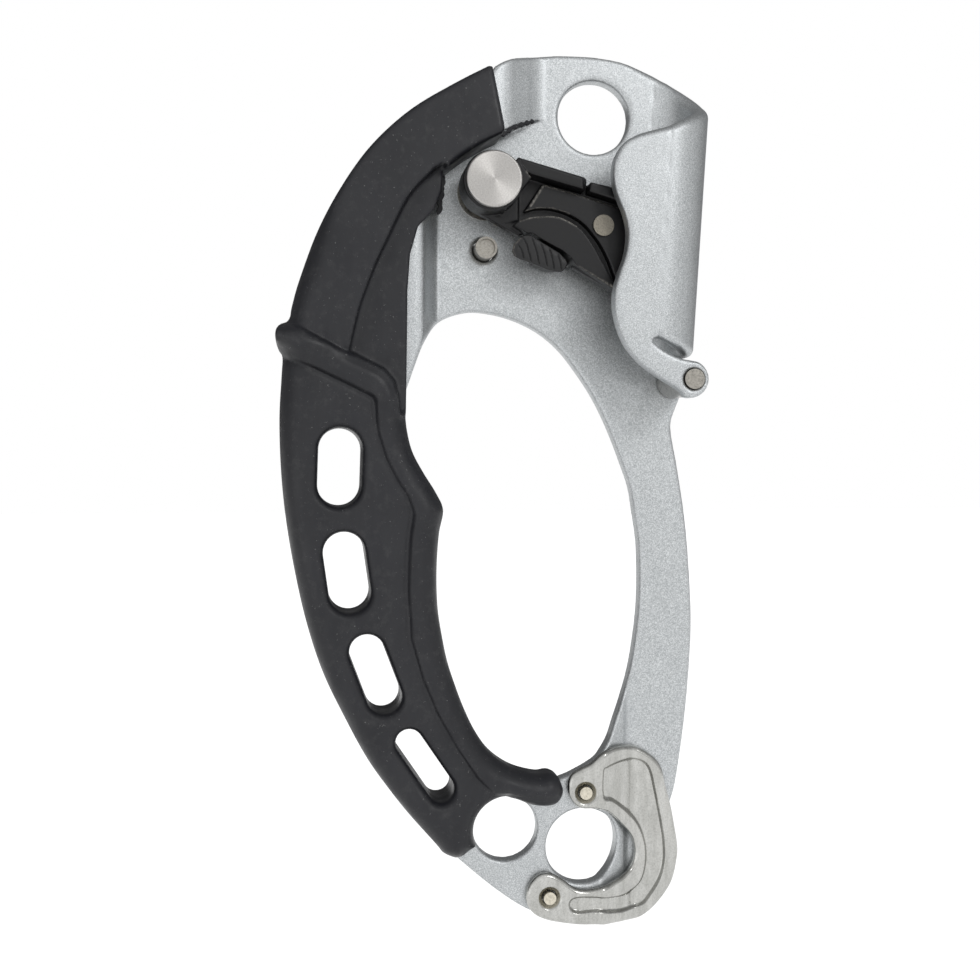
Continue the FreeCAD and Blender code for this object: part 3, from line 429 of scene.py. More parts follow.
# Places in X and Z, holes with their radius, slots with length, width and lean
TOP_HOLE = ((-13.65, 31.5), 8.4)
MAIN_HOLE = ((-17.1, -137.2), 8.7)
REAR_HOLE = ((-35.3, -132.4), 7.4)
ROLLER = (5.35, -30.0)
CAM = (-39.4, 13.2)
STOP = (-39.4, 0.2)
SLOTS = (((-72.8, -49.6), 17.5, 9.7, 2.0), ((-71.3, -73.0), 18.2, 9.3, -8.1),
         ((-65.0, -95.8), 18.6, 7.9, -20.7), ((-54.0, -116.6), 18.8, 6.1, -34.0))
UPPER_RIVET = (-16.9, -124.4)
LOWER_RIVET = (-25.3, -148.3)

# Outlines in X and Z
FRAME_TOP = [(-37.6, 40.8), (-35.3, 42.2), (-32, 43.6), (-25.4, 45.2), (-19.3, 45.6), (-13.1, 45.5),
             (-7.1, 44.7), (-3.0, 43.5), (0.85, 42.0), (6.5, 39.2)]
LIMB = [(6.4, -35.8), (5.4, -38.6), (5.25, -41), (5.8, -44.5), (6.9, -50.2), (8.8, -62.4), (9.9, -74.7),
        (10.4, -87), (9.8, -99.4), (8.6, -111.7), (6.7, -124.6), (5.3, -130), (5.4, -134), (6.1, -139),
        (6.0, -142.7), (4.9, -147), (2.0, -151.8), (-2, -155), (-7, -155.6), (-14, -154.6), (-21, -154.1),
        (-26.2, -153), (-31, -150.9), (-36.3, -147.3), (-41.7, -142.9), (-49.0, -136.4)]
GRIP_OUTER = [(-37.0, 40.8), (-47.6, 35.1), (-57.4, 28.9), (-65.8, 21.0), (-72.3, 11.9), (-77.6, 2.2),
              (-81.5, -8.2), (-83.2, -14.2), (-83.8, -16.9), (-86.1, -19.2), (-86.3, -21.6),
              (-85.3, -25.0), (-85.5, -29.5), (-86.0, -38.8), (-85.7, -50.4), (-84.6, -61.8),
              (-82.7, -73.2), (-80.2, -84.4), (-76.7, -95.4), (-71.8, -105.9), (-66.2, -116.3),
              (-59.2, -125.9), (-51.4, -135.0)]
FINGERS = [(-28.1, -119.9), (-33.8, -118.3), (-38.7, -114.8), (-42.2, -109.9), (-44.8, -104.6),
           (-46.9, -99.1), (-48.7, -93.5), (-49.9, -87.8), (-50.8, -82), (-51.1, -76.1), (-51.0, -70.2),
           (-50.5, -64.3), (-49.6, -59.3), (-51.3, -55.3), (-54.1, -50.8), (-56.6, -46), (-57.8, -41),
           (-58.0, -37.5), (-57.9, -32.1)]
OPENING = [(-57.8, -32.2), (-55.9, -26.9), (-53.6, -21.4), (-49.7, -16.3), (-43.5, -14.0), (-37.5, -14.3),
           (-31.6, -15.9), (-26.2, -18.6), (-21.5, -22.5), (-17.7, -27.2), (-14.2, -32.3), (-11.3, -37.6),
           (-8.8, -43.2), (-6.6, -48.9), (-4.6, -54.7), (-3.6, -60.8), (-2.7, -66.9), (-2.4, -73.1),
           (-2.4, -79.3), (-2.8, -85.5), (-3.6, -91.6), (-4.7, -97.7), (-6.4, -103.5), (-8.8, -109.1),
           (-10.6, -113.2), (-13.3, -116.4), (-15.8, -118.2), (-18.4, -119.6), (-21.6, -121.0),
           (-27, -122.4), (-35, -121), (-41.5, -116.0), (-46.5, -107.5), (-51, -94.2), (-53.2, -82),
           (-53.4, -70), (-52.6, -61), (-56.0, -52.4), (-59.7, -44), (-60.2, -37.5)]
FLAP = [(4.6, 29.0), (1.7, 27.2), (-0.5, 26.0), (-3.9, 25.0), (-7.2, 23.9), (-8.8, 23.1), (-10.4, 22.0),
        (-11.9, 20.0), (-13.0, 17.3), (-13.2, 14.6), (-12.7, 11.6), (-11.6, 8.7), (-10.5, 6.0),
        (-9.8, 2.2), (-10.3, -2.4), (-11.8, -6.8), (-12.8, -10.5), (-12.9, -14.4), (-12.4, -17.1),
        (-11.5, -20.0), (-10.1, -22.8), (-8.2, -25.2), (-5.8, -27.4), (-2, -30.0), (1.7, -32.2),
        (3.1, -33.4)]
SLOT_TOP = [(-3.3, -20.9), (-2.6, -21.0), (-1.1, -21.7), (1, -22.8), (3.2, -23.8), (4.6, -24.4),
            (9, -25.2), (16, -26.2)]
SLOT_MIDDLE = [(-4.1, -21.4), (-2.6, -22.0), (-1.1, -22.9), (1, -23.9), (3.2, -24.7), (4.6, -25.1),
               (9, -25.9), (16, -26.8)]
SLOT_LOW = [(16, -27.5), (9, -26.6), (4.6, -25.85), (3.0, -25.6), (1.4, -25.1), (-0.5, -24.3), (-2.5, -23.1),
            (-4.0, -21.8), (-4.1, -21.2)]
SLIT = [(-54.5, 12.0), (-50.5, 17.0), (-48.2, 20.0), (-43.2, 24.0), (-36.1, 26.2), (-31.5, 28.6),
        (-26.9, 30.2)]
# The fold's top edge: degrees round the rope from the plate, and height
FOLD_TOP = [(0.0, 42.0), (22, 40.3), (45, 37.9), (65, 35.6), (86, 33.2), (108, 31.4), (135, 29.6),
            (158, 27.8), (180, 26.2)]
ARM = ((4.6, -30.0), 4.2)


def arc_points(centre, r, start, end, count=16):
    """Points on an arc, with angles in degrees from +X towards +Z."""
    a = np.radians(np.linspace(start, end, count))
    return np.stack([centre[0] + r * np.cos(a), centre[1] + r * np.sin(a)], 1)


def inset(points, depth):
    """A run of points moved to the right of its direction."""
    p = np.array(points, float)
    d = np.gradient(p, axis=0)
    d /= np.linalg.norm(d, axis=1)[:, None]
    return p + depth * np.stack([d[:, 1], -d[:, 0]], 1)


def soft_clamp(t, w):
    """0 before 0 and 1 after 1, straight between, with both bends rounded over w."""
    rising = np.clip(t + w, 0, 2 * w) ** 2 / (4 * w) + np.maximum(t - w, 0)
    over = np.clip(t - 1 + w, 0, 2 * w) ** 2 / (4 * w) + np.maximum(t - 1 - w, 0)
    return rising - over


def along(points, t):
    """The height of a line of points over t."""
    return np.interp(t, [p[0] for p in points], [p[1] for p in points])


def stepped(x, start, end, bend, lift):
    """Y of a layer that steps back by the joggle, lift in front of the plate, and its slant."""
    angle = math.atan2(JOGGLE, end - start)
    shift = lift * math.tan(angle / 2)
    w = bend * math.tan(angle / 2) / (end - start)
    t = (x - start - shift) / (end - start)
    e = 1e-3
    slope = (soft_clamp(t + e, w) - soft_clamp(t - e, w)) / (2 * e) * JOGGLE / (end - start)
    return HANDLE_FRONT - lift + JOGGLE * soft_clamp(t, w), 1 / np.sqrt(1 + slope ** 2)


def across(x, z):
    """Distance to the right of the channel's middle, square to the rope."""
    return (x - (z * math.tan(LEAN) - FOLD_SHIFT)) * math.cos(LEAN)


def beside_fold(x, z):
    """Below 0 where the walls are flat: left of the fold or under the slot at its foot."""
    return np.minimum(across(x, z), z - along(SLOT_MIDDLE, x))


def relief_slot(x, z):
    """The slot between the fold's foot and the arms."""
    return polygon(joined(SLOT_TOP, SLOT_LOW), x, z)


def plate_plan(x, z):
    """Outline of the flat and stepped part with its openings and holes."""
    outer = inset(smooth(GRIP_OUTER), -GRIP_WRAP)[::-1]
    side = [p for p in outer if p[0] < -39.5 and p[1] > -136]
    right = [(11, 36), (11, -24), (4.6, -24)]
    plan = polygon(joined(smooth(FRAME_TOP), right, arc_points(*ARM, 95, -45), smooth(LIMB), side), x, z)
    holes = [polygon(smooth(OPENING, closed=True), x, z), relief_slot(x, z)]
    holes += [circle(*hole, x, z) for hole in (TOP_HOLE, MAIN_HOLE, REAR_HOLE)]
    holes += [circle(ROLLER, AXLE_HOLE, x, z), circle(CAM, PIN_HOLE, x, z), circle(STOP, PIN_HOLE, x, z)]
    for centre, length, width, lean in SLOTS:
        holes.append(obround(centre, length + 2 * SLOT_LINING, width + 2 * SLOT_LINING, lean, x, z))
    for hole in holes:
        plan = np.maximum(plan, -hole)
    return plan


def plate_distance(x, y, z):
    """The plate in two zones, each with its own step, that meet along the slit."""
    plan = plate_plan(x, z)
    left = [(-FAR, SLIT[0][1])]
    right = (FAR, SLIT[-1][1])
    above = polygon(joined(left, SLIT, [right, (FAR, FAR), (-FAR, FAR)]), x, z)
    below = polygon(joined(left, SLIT, [right, (FAR, -FAR), (-FAR, -FAR)]), x, z)
    top_middle, top_slant = stepped(x, *TOP_RAMP, -PLATE / 2)
    side_middle, side_slant = stepped(x, *SIDE_RAMP, -PLATE / 2)
    foot_middle, foot_slant = stepped(x, *FOOT_RAMP, -PLATE / 2)
    low_middle = np.where(z > SIDE_ZONE_FOOT, side_middle, foot_middle)
    low_slant = np.where(z > SIDE_ZONE_FOOT, side_slant, foot_slant)
    rim = EDGE + TOP_EDGE_EXTRA * step((x + 8) / 8) * step((z - 30) / 5)
    plate = np.full(np.broadcast(x, y, z).shape, INF, np.float32)
    for area, middle, slant in ((above, top_middle, top_slant), (below, low_middle, low_slant)):
        wall = both(plan, np.abs(y - middle) * slant - PLATE / 2, rim)
        zone = np.maximum(wall, area - ZONE_OVERLAP)
        plate = np.minimum(plate, np.maximum(zone, beside_fold(x, z)))
    return plate


def fold_distance(x, y, z):
    """The half-round wall of the channel."""
    u = across(x, z)
    turn = np.degrees(np.arctan2(np.maximum(u, 0), y))
    ends = np.maximum((z - along(FOLD_TOP, turn)) * 0.9, (along(SLOT_TOP, x) - z) * 0.9)
    wall = np.abs(np.hypot(u, y) - MID_FOLD) - PLATE / 2
    return np.maximum(both(ends, wall, FOLD_EDGE), -u)


def flap_distance(x, y, z):
    """The front wall of the channel, with the roller's arm."""
    outline = joined(smooth(FLAP), arc_points(*ARM, -115, 85, 24), [(4.6, -24), (12, -24), (12, 28)])
    cover = np.maximum(polygon(outline, x, z), -relief_slot(x, z))
    cover = np.maximum(cover, -circle(ROLLER, AXLE_HOLE, x, z))
    rim = EDGE + FLAP_EDGE_EXTRA * step((z - 20) / 8)
    return np.maximum(both(cover, np.abs(y + MID_FOLD) - PLATE / 2, rim), beside_fold(x, z))


def frame_distance(x, y, z):
    """The whole folded plate."""
    plate = np.minimum(plate_distance(x, y, z), fold_distance(x, y, z))
    return np.minimum(plate, flap_distance(x, y, z))


def make_frame():
    points, quads = net(frame_distance, (-88, -12, -157), (17, 12.5, 47), FRAME_CELL)
    add_mesh("frame_plate", points, quads, aluminium, "frame_body", ("frame",))


# Rubber grip

GRIP_HALF = 7.5
GRIP_MIDDLE = 3.0
GRIP_CELL = 0.5
PALM_EDGE = 5.0
CRISP_EDGE = 1.1
END_EDGE = 0.9
SLOT_EDGE = 1.7
TAIL_THINNER = 1.5
END_PLACE = (-37.85, 34)
END_LEAN = 0.205
COLLAR_REACH = 3.0
COLLAR_RISE = 1.0
BEAD_RISE = 1.0
BEAD_GROOVE = 0.35
FINGER_SINK = 0.9
PALM_SINK = 0.5
VALLEY_FLOOR = 7.2
FLASH_CELL = 0.14
GRIP_TOE = [(-51.4, -135.0), (-49.9, -136.9), (-48.1, -137.9), (-46.7, -138.3), (-45.2, -137.9),
            (-43.9, -136.9)]
GRIP_TAIL = [(-35.1, -125.3), (-32.6, -126.1), (-30.2, -126.8), (-26.9, -127.4), (-24.1, -127.2),
             (-22.5, -126), (-21.9, -124.1), (-22.4, -122.2), (-23.3, -120.6), (-25.2, -119.8),
             (-28.1, -120)]
VALLEY = [(-49.7, 17.6), (-51.7, 16.4), (-53.4, 14.8), (-55.6, 12.6), (-57.9, 9.7), (-60.0, 5.7),
          (-62.2, 1.0), (-64.5, -3.8), (-66.6, -9.1), (-68.4, -14.1), (-69.7, -19.2), (-70.8, -24.0)]
VALLEY_FOOT = [(-70.8, -24.0), (-67.4, -25.8), (-63.1, -27.9), (-60.9, -30.5), (-60.0, -33.8),
               (-59.6, -37.5), (-44, -37.5), (-44, 12.0)]
COLLAR_TOP = [(-92, -17.6), (-87.4, -18.4), (-83.5, -18.4), (-77.1, -21.6), (-71.7, -24.4),
              (-67.4, -25.8), (-63.1, -27.9), (-60.9, -30.5), (-60.0, -33.8), (-59.4, -37.5), (-55, -42)]
BEAD_SIDE = [(-38.0, -123.4), (-42.2, -119.2), (-46.6, -112.6), (-51.1, -104.6), (-54.4, -96.7),
             (-56.9, -87.9), (-57.6, -76.8), (-57.2, -65.7), (-56.3, -59.8), (-57.6, -56.1),
             (-60.2, -52.0), (-62.4, -47.6), (-64.2, -41.9), (-64.6, -38.2), (-64.8, -34.9),
             (-65.2, -34.0), (-67.4, -32.9), (-71.7, -30.8), (-77.1, -28.2), (-81.4, -26.3),
             (-85.3, -24.9), (-92, -23.0)]
COLLAR = [(-87.4, -20.4), (-84.4, -21.2), (-79.0, -23.9), (-74.0, -26.5), (-69.0, -28.9), (-65.0, -30.9),
          (-62.6, -34.0)]
BAND_EDGE = [(-49.2, 16.4), (-46.7, 18.5), (-43.4, 20.8), (-39.9, 22.9), (-36.2, 24.8)]
GRIP_INNER = [(-57.6, -10), (-57.0, -2), (-55.2, 4.2), (-51.5, 8.2), (-49.9, 12), (-49.6, 16.6)]
GRIP_END = [(-36.2, 24.9), (-30, 28.6), (-30, 46)]
FLASH_OVER = [(-38.0, 24.6), (-36.4, 25.3), (-35.0, 26.1), (-33.6, 27.3), (-31.8, 28.2), (-30.0, 29.0),
              (-28.4, 29.7)]
FLASH_BESIDE = [(-49.0, 16.8), (-49.1, 13.6), (-49.5, 11.2), (-49.8, 8.6)]


def grip_plan(x, z):
    """Outline of the rubber, with the notch beside the rear hole."""
    notch = arc_points(*REAR_HOLE, 207, 88)
    low = joined(smooth(GRIP_OUTER + GRIP_TOE[1:]), notch, smooth(GRIP_TAIL + FINGERS[1:]))
    return polygon(joined(low, GRIP_INNER, smooth(BAND_EDGE)[1:-1], GRIP_END), x, z)


def grip_front(x, z, half, collar):
    """Y of the front face: collar, finger bead with its groove, and a hollow for the palm."""
    raised = polygon(joined(smooth(COLLAR_TOP), [(-10, -60), (-10, -126)], BEAD_SIDE), x, z)
    below = step((z + 128) / 8) * step((-12 - z) / 6)
    hump = COLLAR_RISE * (1 - step((collar - 0.6) / 3.0)) * step((x + 91) / 3)
    rise = BEAD_RISE * np.clip((0.3 - raised) / 0.7, 0, 1) ** 0.6 * below
    groove = BEAD_GROOVE * np.clip(1 - np.abs(raised - 0.75) / 0.6, 0, 1) * below
    palm = PALM_SINK * step((x + 88) / 12) * step((-34 - z) / 8)
    palm = palm * step((z + 132) / 12) * step((raised - 3) / 5)
    return GRIP_MIDDLE - half + FINGER_SINK * below * step((-22 - z) / 4) - hump - rise + groove + palm


def grip_distance(x, y, z):
    """The rubber on the handle, with its valley, collar and slots."""
    plan = grip_plan(x, z)
    tail = step((x + 52) / 26) * step((-100 - z) / 20)
    half = GRIP_HALF - TAIL_THINNER * tail
    collar = line_distance(smooth(COLLAR), x, z)
    valley = polygon(joined(smooth(VALLEY), VALLEY_FOOT[1:]), x, z)
    faces = np.maximum((grip_front(x, z, half, collar) - y) * 0.9, y - GRIP_MIDDLE - half)
    crisp = np.maximum(step((1.5 - valley) / 3.0), step((z + 5) / 20))
    body = both(plan, faces, (PALM_EDGE - tail) * (1 - crisp) + CRISP_EDGE * crisp)
    body = both(body, -both(valley, y - VALLEY_FLOOR + half, 1.2), 0.3)
    lip = np.hypot(np.maximum(collar, 0), (y - GRIP_MIDDLE) * 0.38) - COLLAR_REACH
    lip = both(lip, 1.0 - valley, 0.3)
    body = either(body, np.maximum(lip, plan - 0.3), 0.8)
    end = (x - END_PLACE[0] + (z - END_PLACE[1]) * END_LEAN) * 0.98
    body = both(body, end, END_EDGE)
    for centre, length, width, lean in SLOTS:
        body = both(body, -obround(centre, length, width, lean, x, z), SLOT_EDGE)
    return both(body, -circle(*REAR_HOLE, x, z), 0.5)


def flash_distance(x, y, z):
    """Thin torn rubber left along the slit in the plate."""
    ragged = 0.42 + 0.14 * np.sin(3.1 * x + 1.7 * z) + 0.10 * np.sin(7.3 * x - 5.1 * z)
    over = line_distance(FLASH_OVER, x, z) - ragged
    front = stepped(x, *TOP_RAMP, 0)[0]
    body = np.maximum(over, np.abs(y - front - 0.2) - 0.4)
    beside = line_distance(FLASH_BESIDE, x, z) - ragged - 0.15
    return np.minimum(body, np.maximum(beside, np.abs(y - 6.8) - 0.5))


def make_grip():
    points, quads = net(grip_distance, (-90, -10, -140.5), (-20, 13, 44.5), GRIP_CELL)
    add_mesh("grip_rubber", points, quads, rubber, "frame_body", ("grip",))
    points, quads = net(flash_distance, (-51, 0, 7), (-27, 8, 31), FLASH_CELL)
    add_mesh("grip_flash", points, quads, rubber, "frame_body", ())


# Steel plate round the main hole

CONNECTOR_THICK = 2
CONNECTOR_EDGE = 1.1
CONNECTOR_RELIEF = 0.9
SEAT_DEPTH = 0.55
SEAT_ROUND = 2.9
RIVET_HOLE = 1.5
CONNECTOR_CELL = 0.25
CONNECTOR = [(-21.1, -122.2), (-20.3, -120.1), (-18.4, -118.9), (-15.8, -117.7), (-13.3, -115.6),
             (-11, -114.7), (-7.9, -114.5), (-4.1, -115.2), (-0.9, -116.8), (1.8, -119.1), (3.1, -121.7),
             (3.8, -124.9), (5.1, -129.8), (6.1, -135), (6.8, -139.5), (6.6, -142.7), (5.5, -147.5),
             (3.2, -151.3), (-0.1, -154.7), (-3.4, -156.4), (-7, -156.2), (-13.2, -155.3), (-18.3, -155),
             (-23.1, -154.2), (-26.2, -153.4), (-28.7, -152.1), (-30.3, -150.1), (-30.8, -147.6),
             (-30, -144.9), (-27.8, -142.8), (-25.3, -142.6), (-22.8, -143.8), (-20.2, -145.8),
             (-18.3, -146.7), (-15.8, -146.9), (-13.2, -146.5), (-9.4, -145.8), (-6.6, -145),
             (-4.7, -143.5), (-3.9, -141), (-4.1, -138.4), (-5, -136.1), (-7.1, -133.6), (-9.4, -131.2),
             (-11.8, -129.1), (-14.6, -128.3), (-17.7, -128.1), (-19.6, -126.9), (-20.9, -124.6)]
RECESS = [(-12.7, -125.4), (-12.7, -119.7), (-11.9, -118.8), (-7.6, -118.1), (-3.9, -118.3),
          (-1.4, -119.3), (0.0, -121.5), (1.0, -125.8), (2.2, -131.8), (3.2, -137.8), (3.3, -142.6),
          (2.3, -146.8), (-0.1, -150.7), (-2.5, -153.0), (-7.5, -153.3), (-13.6, -151.9), (-19.1, -151.9),
          (-20.7, -150.3), (-19.4, -148.6), (-13.6, -148.8), (-6.7, -149.8), (-3.0, -148.2),
          (-1.4, -144.7), (-1.1, -140.0), (-2.1, -135.7), (-4.1, -132.2), (-7.6, -128.8), (-10.5, -126.5)]


def connector_distance(x, y, z):
    """The stepped C, with its pressed relief and its rivets' seats."""
    plan = polygon(smooth(CONNECTOR, 4, True), x, z)
    sunk = CONNECTOR_RELIEF * step((0.4 - polygon(smooth(RECESS, 4, True), x, z)) / 0.8)
    for centre in (UPPER_RIVET, LOWER_RIVET):
        plan = np.maximum(plan, -circle(centre, RIVET_HOLE, x, z))
        sunk = sunk + SEAT_DEPTH * step(-circle(centre, SEAT_ROUND, x, z))
    front, slant = stepped(x, *FOOT_RAMP, CONNECTOR_THICK)
    back, back_slant = stepped(x, *FOOT_RAMP, 0)
    faces = np.maximum((front + sunk - y) * slant, (y - back) * back_slant)
    return both(plan, faces, CONNECTOR_EDGE)


def make_connector():
    points, quads = net(connector_distance, (-32.5, -2.2, -158), (8.5, 8.5, -113), CONNECTOR_CELL)
    add_mesh("connector_cover", points, quads, pressed, "frame_body", ("connector_plate",))


# Cam and safety catch, in millimetres from the cam's pivot

CAM_CELL = 0.2
HUB = (6.6, -8.2, 1.0)
SLEEVE = (5.5, -8.0, 5.2)
HUB_BORE = 3.2
SPRING_RECESS = (4.7, 0.2)
LOBE_FRONT = -2.3
WEB_FRONT = -1.9
WEB_BACK = 0.6
TOP_BAR_FRONT = -7.0
SMALL_BAR_FRONT = -6.0
RIB_FRONT = -4.0
CRESCENT_FRONT = -4.5
BLOCK_WALLS = (-5.2, 5.1)
BLOCK_ROOM = 6.6
CAST_EDGE = 0.3
CATCH_BORE = 1.36
TOOTH_ROWS = 9
TOOTH_PITCH = 2.6
TOOTH_SIDES = 12
TOOTH_PROFILE = ((-0.6, 0.95), (-0.2, 0.85), (0.55, 0.5), (1.0, 0.24), (1.12, 0.1))
# Width of the pale edge mark: rubbed-off coat and a painted edge highlight.
WEAR_AND_HIGHLIGHT_REACH = 0.34

# Outlines from the pivot in X and Z
BLOCK_FACE = [(34.9, -4.0), (36.8, -9.7), (38.7, -16.0), (40.3, -22.3), (41.1, -28.3), (40.4, -30.0)]
CAM_PLATE = [(-2.0, -6.3), (2.4, -8.7), (27.3, -22.4), (31.0, -24.4), (35.0, -26.6), (35.0, -2.0),
             (22.2, 0.7), (21.3, 1.5), (6.3, 5.5), (0.0, 5.5)]
HUB_FACET = [(0, 0), (5.6, 5.1), (7.4, 2.1), (8.4, 0.8), (2.6, -6.6)]
HUB_LOBE = [(0, 0), (6.5, 2.0), (6.4, -7.7), (3.3, -8.3), (-0.5, -6.5)]
TOP_BAR = [(5.6, 5.6), (21.3, 1.5), (21.6, 0.9), (20.9, -1.3), (7.5, 2.1)]
SMALL_BAR = [(22.2, 0.7), (34.8, -2.0), (34.8, -5.0), (21.9, -1.4)]
RIB = [(11.1, -0.6), (11.6, 0.1), (12.4, 0.2), (27.8, -4.1), (35.5, -6.3), (34.5, -21.0), (29.4, -22.4)]
RIB_UNDER = [(29.4, -22.4), (28.0, -19.4), (26.8, -16.3), (25.0, -12.9), (23.1, -10.4), (20.9, -8.1),
             (17.6, -6.2), (13.9, -5.2), (10.3, -5.2), (7.5, -6.0)]
CRESCENT = [(5.2, -9.0), (6.2, -8.1), (9.4, -7.1), (13.5, -6.8), (16.0, -7.2), (19.3, -8.8),
            (21.2, -10.4), (23.3, -13.3), (25.3, -16.8), (27.4, -20.3), (29.0, -22.8)]
BLOCK = [(40.4, -30.0), (31.0, -24.4), (31.5, -15.0), (32.0, -10.0), (32.8, -6.0), (34.9, -4.0)]
# Where the coat is rubbed off and an edge highlight is painted: Y of the edge and its line
CAM_WEAR_AND_HIGHLIGHT = [(-4.0, [(11.9, 0.1), (20.0, -1.9), (28.3, -4.1), (31, -4.8)]), (-4.0, [(11.9, 0.1), (9.0, -4.6)]),
            (-4.5, [(6.6, -8.0), (9.4, -7.1), (13.5, -6.8), (16.0, -7.2), (19.3, -8.8)]),
            (-4.0, [(7.5, -6.0), (10.3, -5.2), (13.9, -5.2), (17.6, -6.2)]), (-8.2, [(7.4, 2.1), (8.4, 0.8)]),
            (-4.5, [(2.4, -8.7), (6.9, -11.1)]), (-4.5, [(19.0, -17.6), (23.5, -20.1), (28.0, -22.5)]),
            (-7.0, [(6.5, 5.5), (20.2, 2.2)])]
PAD_WEAR_AND_HIGHLIGHT = [(-3.8, [(6.55, -11.8), (5.2, -13.2), (4.85, -14.75), (5.4, -15.85)])]
CATCH_RIVET = (25.5, -8.6)
CATCH_CELL = 0.16
PAD_WALLS = (-3.8, 0.7)
PAD_DOME = 0.12
PAD_CORE_WALLS = (-3.0, 5.8)
ARM_WALLS = (1.0, 5.8)
ARM_EYE = 4.0
ARM_REACH = 15.8
GROOVE_DEPTH = 0.32
CATCH_RECESS = (3.1, 4.0)
PAD = [(6.1, -12.25), (6.55, -11.8), (7.25, -11.1), (9.0, -11.0), (11.3, -12.35), (13.55, -13.65),
       (15.6, -14.85), (17.0, -16.25), (17.45, -17.1), (17.0, -18.25), (16.1, -19.05), (14.95, -19.1),
       (12.9, -18.65), (9.95, -17.5), (7.0, -16.6), (5.4, -15.85), (4.85, -14.75), (5.2, -13.2)]
PAD_ROOM = [(5.0, -21.0), (5.0, -12.0), (7.05, -10.7), (9.15, -10.6), (11.5, -12.0), (13.8, -13.2),
            (16.1, -14.35), (18.1, -15.9), (19.0, -17.25), (19.0, -21.0)]
PAD_CORE = [(10.5, -12.8), (15.0, -15.25), (16.4, -16.8), (15.8, -18.0), (13.1, -17.6), (10.7, -16.6)]
CATCH_ARM = [(23.3, -5.4), (10.5, -12.8), (10.7, -16.6), (13.1, -17.6), (15.8, -18.0), (28.0, -12.0)]
PAD_GROOVES = [[(6.2, -13.25), (7.0, -14.4), (7.45, -16.15)], [(7.15, -11.35), (8.1, -13.05),
               (9.2, -16.9)], [(9.4, -11.85), (10.3, -14.35), (10.95, -17.4)], [(11.45, -13.0),
               (12.2, -15.1), (12.8, -17.75)], [(13.4, -14.15), (13.95, -16.1), (14.4, -18.4)],
               [(15.3, -15.3), (15.75, -16.9), (16.1, -18.75)]]


def moved(points):
    """Points from the cam's pivot put in the part's frame."""
    return [(CAM[0] + a, CAM[1] + b) for a, b in points]


def layer(outline, front, back, r, x, y, z):
    """A flat piece between two Y places with rounded edges."""
    return both(polygon(outline, x, z), np.maximum(front - y, y - back), r)


def drum(centre, size, r, x, y, z):
    """A round piece of a radius, front and back, with rounded edges."""
    return both(circle(centre, size[0], x, z), np.maximum(size[1] - y, y - size[2]), r)


def cam_hub(x, y, z):
    """Hub and sleeve, with the facet and the lobe beside them."""
    hub = np.minimum(drum(CAM, HUB, 0.35, x, y, z), drum(CAM, SLEEVE, 0.2, x, y, z))
    hub = np.minimum(hub, layer(moved(HUB_FACET), HUB[1], WEB_BACK, CAST_EDGE, x, y, z))
    return np.minimum(hub, layer(moved(HUB_LOBE), LOBE_FRONT, WEB_BACK, CAST_EDGE, x, y, z))


def cam_ribs(x, y, z):
    """The web with its two bars, its rib and its crescent."""
    body = layer(moved(CAM_PLATE), WEB_FRONT, WEB_BACK, CAST_EDGE, x, y, z)
    deep = TOP_BAR_FRONT - y
    top_slope = ((z - CAM[1] - 5.1) + (x - CAM[0] - 6.3) * 0.27 + deep * 0.5) * 0.85
    bar = both(layer(moved(TOP_BAR), TOP_BAR_FRONT, WEB_BACK, 0.35, x, y, z), top_slope, 0.25)
    bar = both(bar, ((x - CAM[0] - 20.2) + deep * 0.6) * 0.85, 0.2)
    rib = joined(moved(RIB), smooth(moved(RIB_UNDER), 5))
    crescent = joined(smooth(moved(CRESCENT), 5), moved([(29.4, -23.4), (27.3, -22.4)]))
    body = np.minimum(body, bar)
    body = np.minimum(body, layer(moved(SMALL_BAR), SMALL_BAR_FRONT, WEB_BACK, CAST_EDGE, x, y, z))
    body = np.minimum(body, layer(rib, RIB_FRONT, WEB_BACK, CAST_EDGE, x, y, z))
    return np.minimum(body, layer(crescent, CRESCENT_FRONT, WEB_BACK, CAST_EDGE, x, y, z))


def cam_block(x, y, z):
    """The toothed block, rounded to turn inside the channel."""
    face = joined(moved(BLOCK), smooth(moved(BLOCK_FACE), 5))
    u = across(x, z)
    room = np.where(u > 0, np.hypot(u, y), np.abs(y)) - BLOCK_ROOM
    return np.maximum(layer(face, *BLOCK_WALLS, 0.4, x, y, z), room)


def cam_distance(x, y, z):
    """The cam with room for the thumb pad, the pivot, its spring and the catch's rivet."""
    body = np.minimum(cam_ribs(x, y, z), cam_block(x, y, z))
    body = np.maximum(body, -polygon(moved(PAD_ROOM), x, z))
    body = either(body, cam_hub(x, y, z), 0.5)
    body = np.maximum(body, -circle(CAM, HUB_BORE, x, z))
    recess = np.maximum(circle(CAM, SPRING_RECESS[0], x, z), SPRING_RECESS[1] - y)
    body = np.maximum(body, -recess)
    return np.maximum(body, -circle(moved([CATCH_RIVET])[0], CATCH_BORE, x, z))


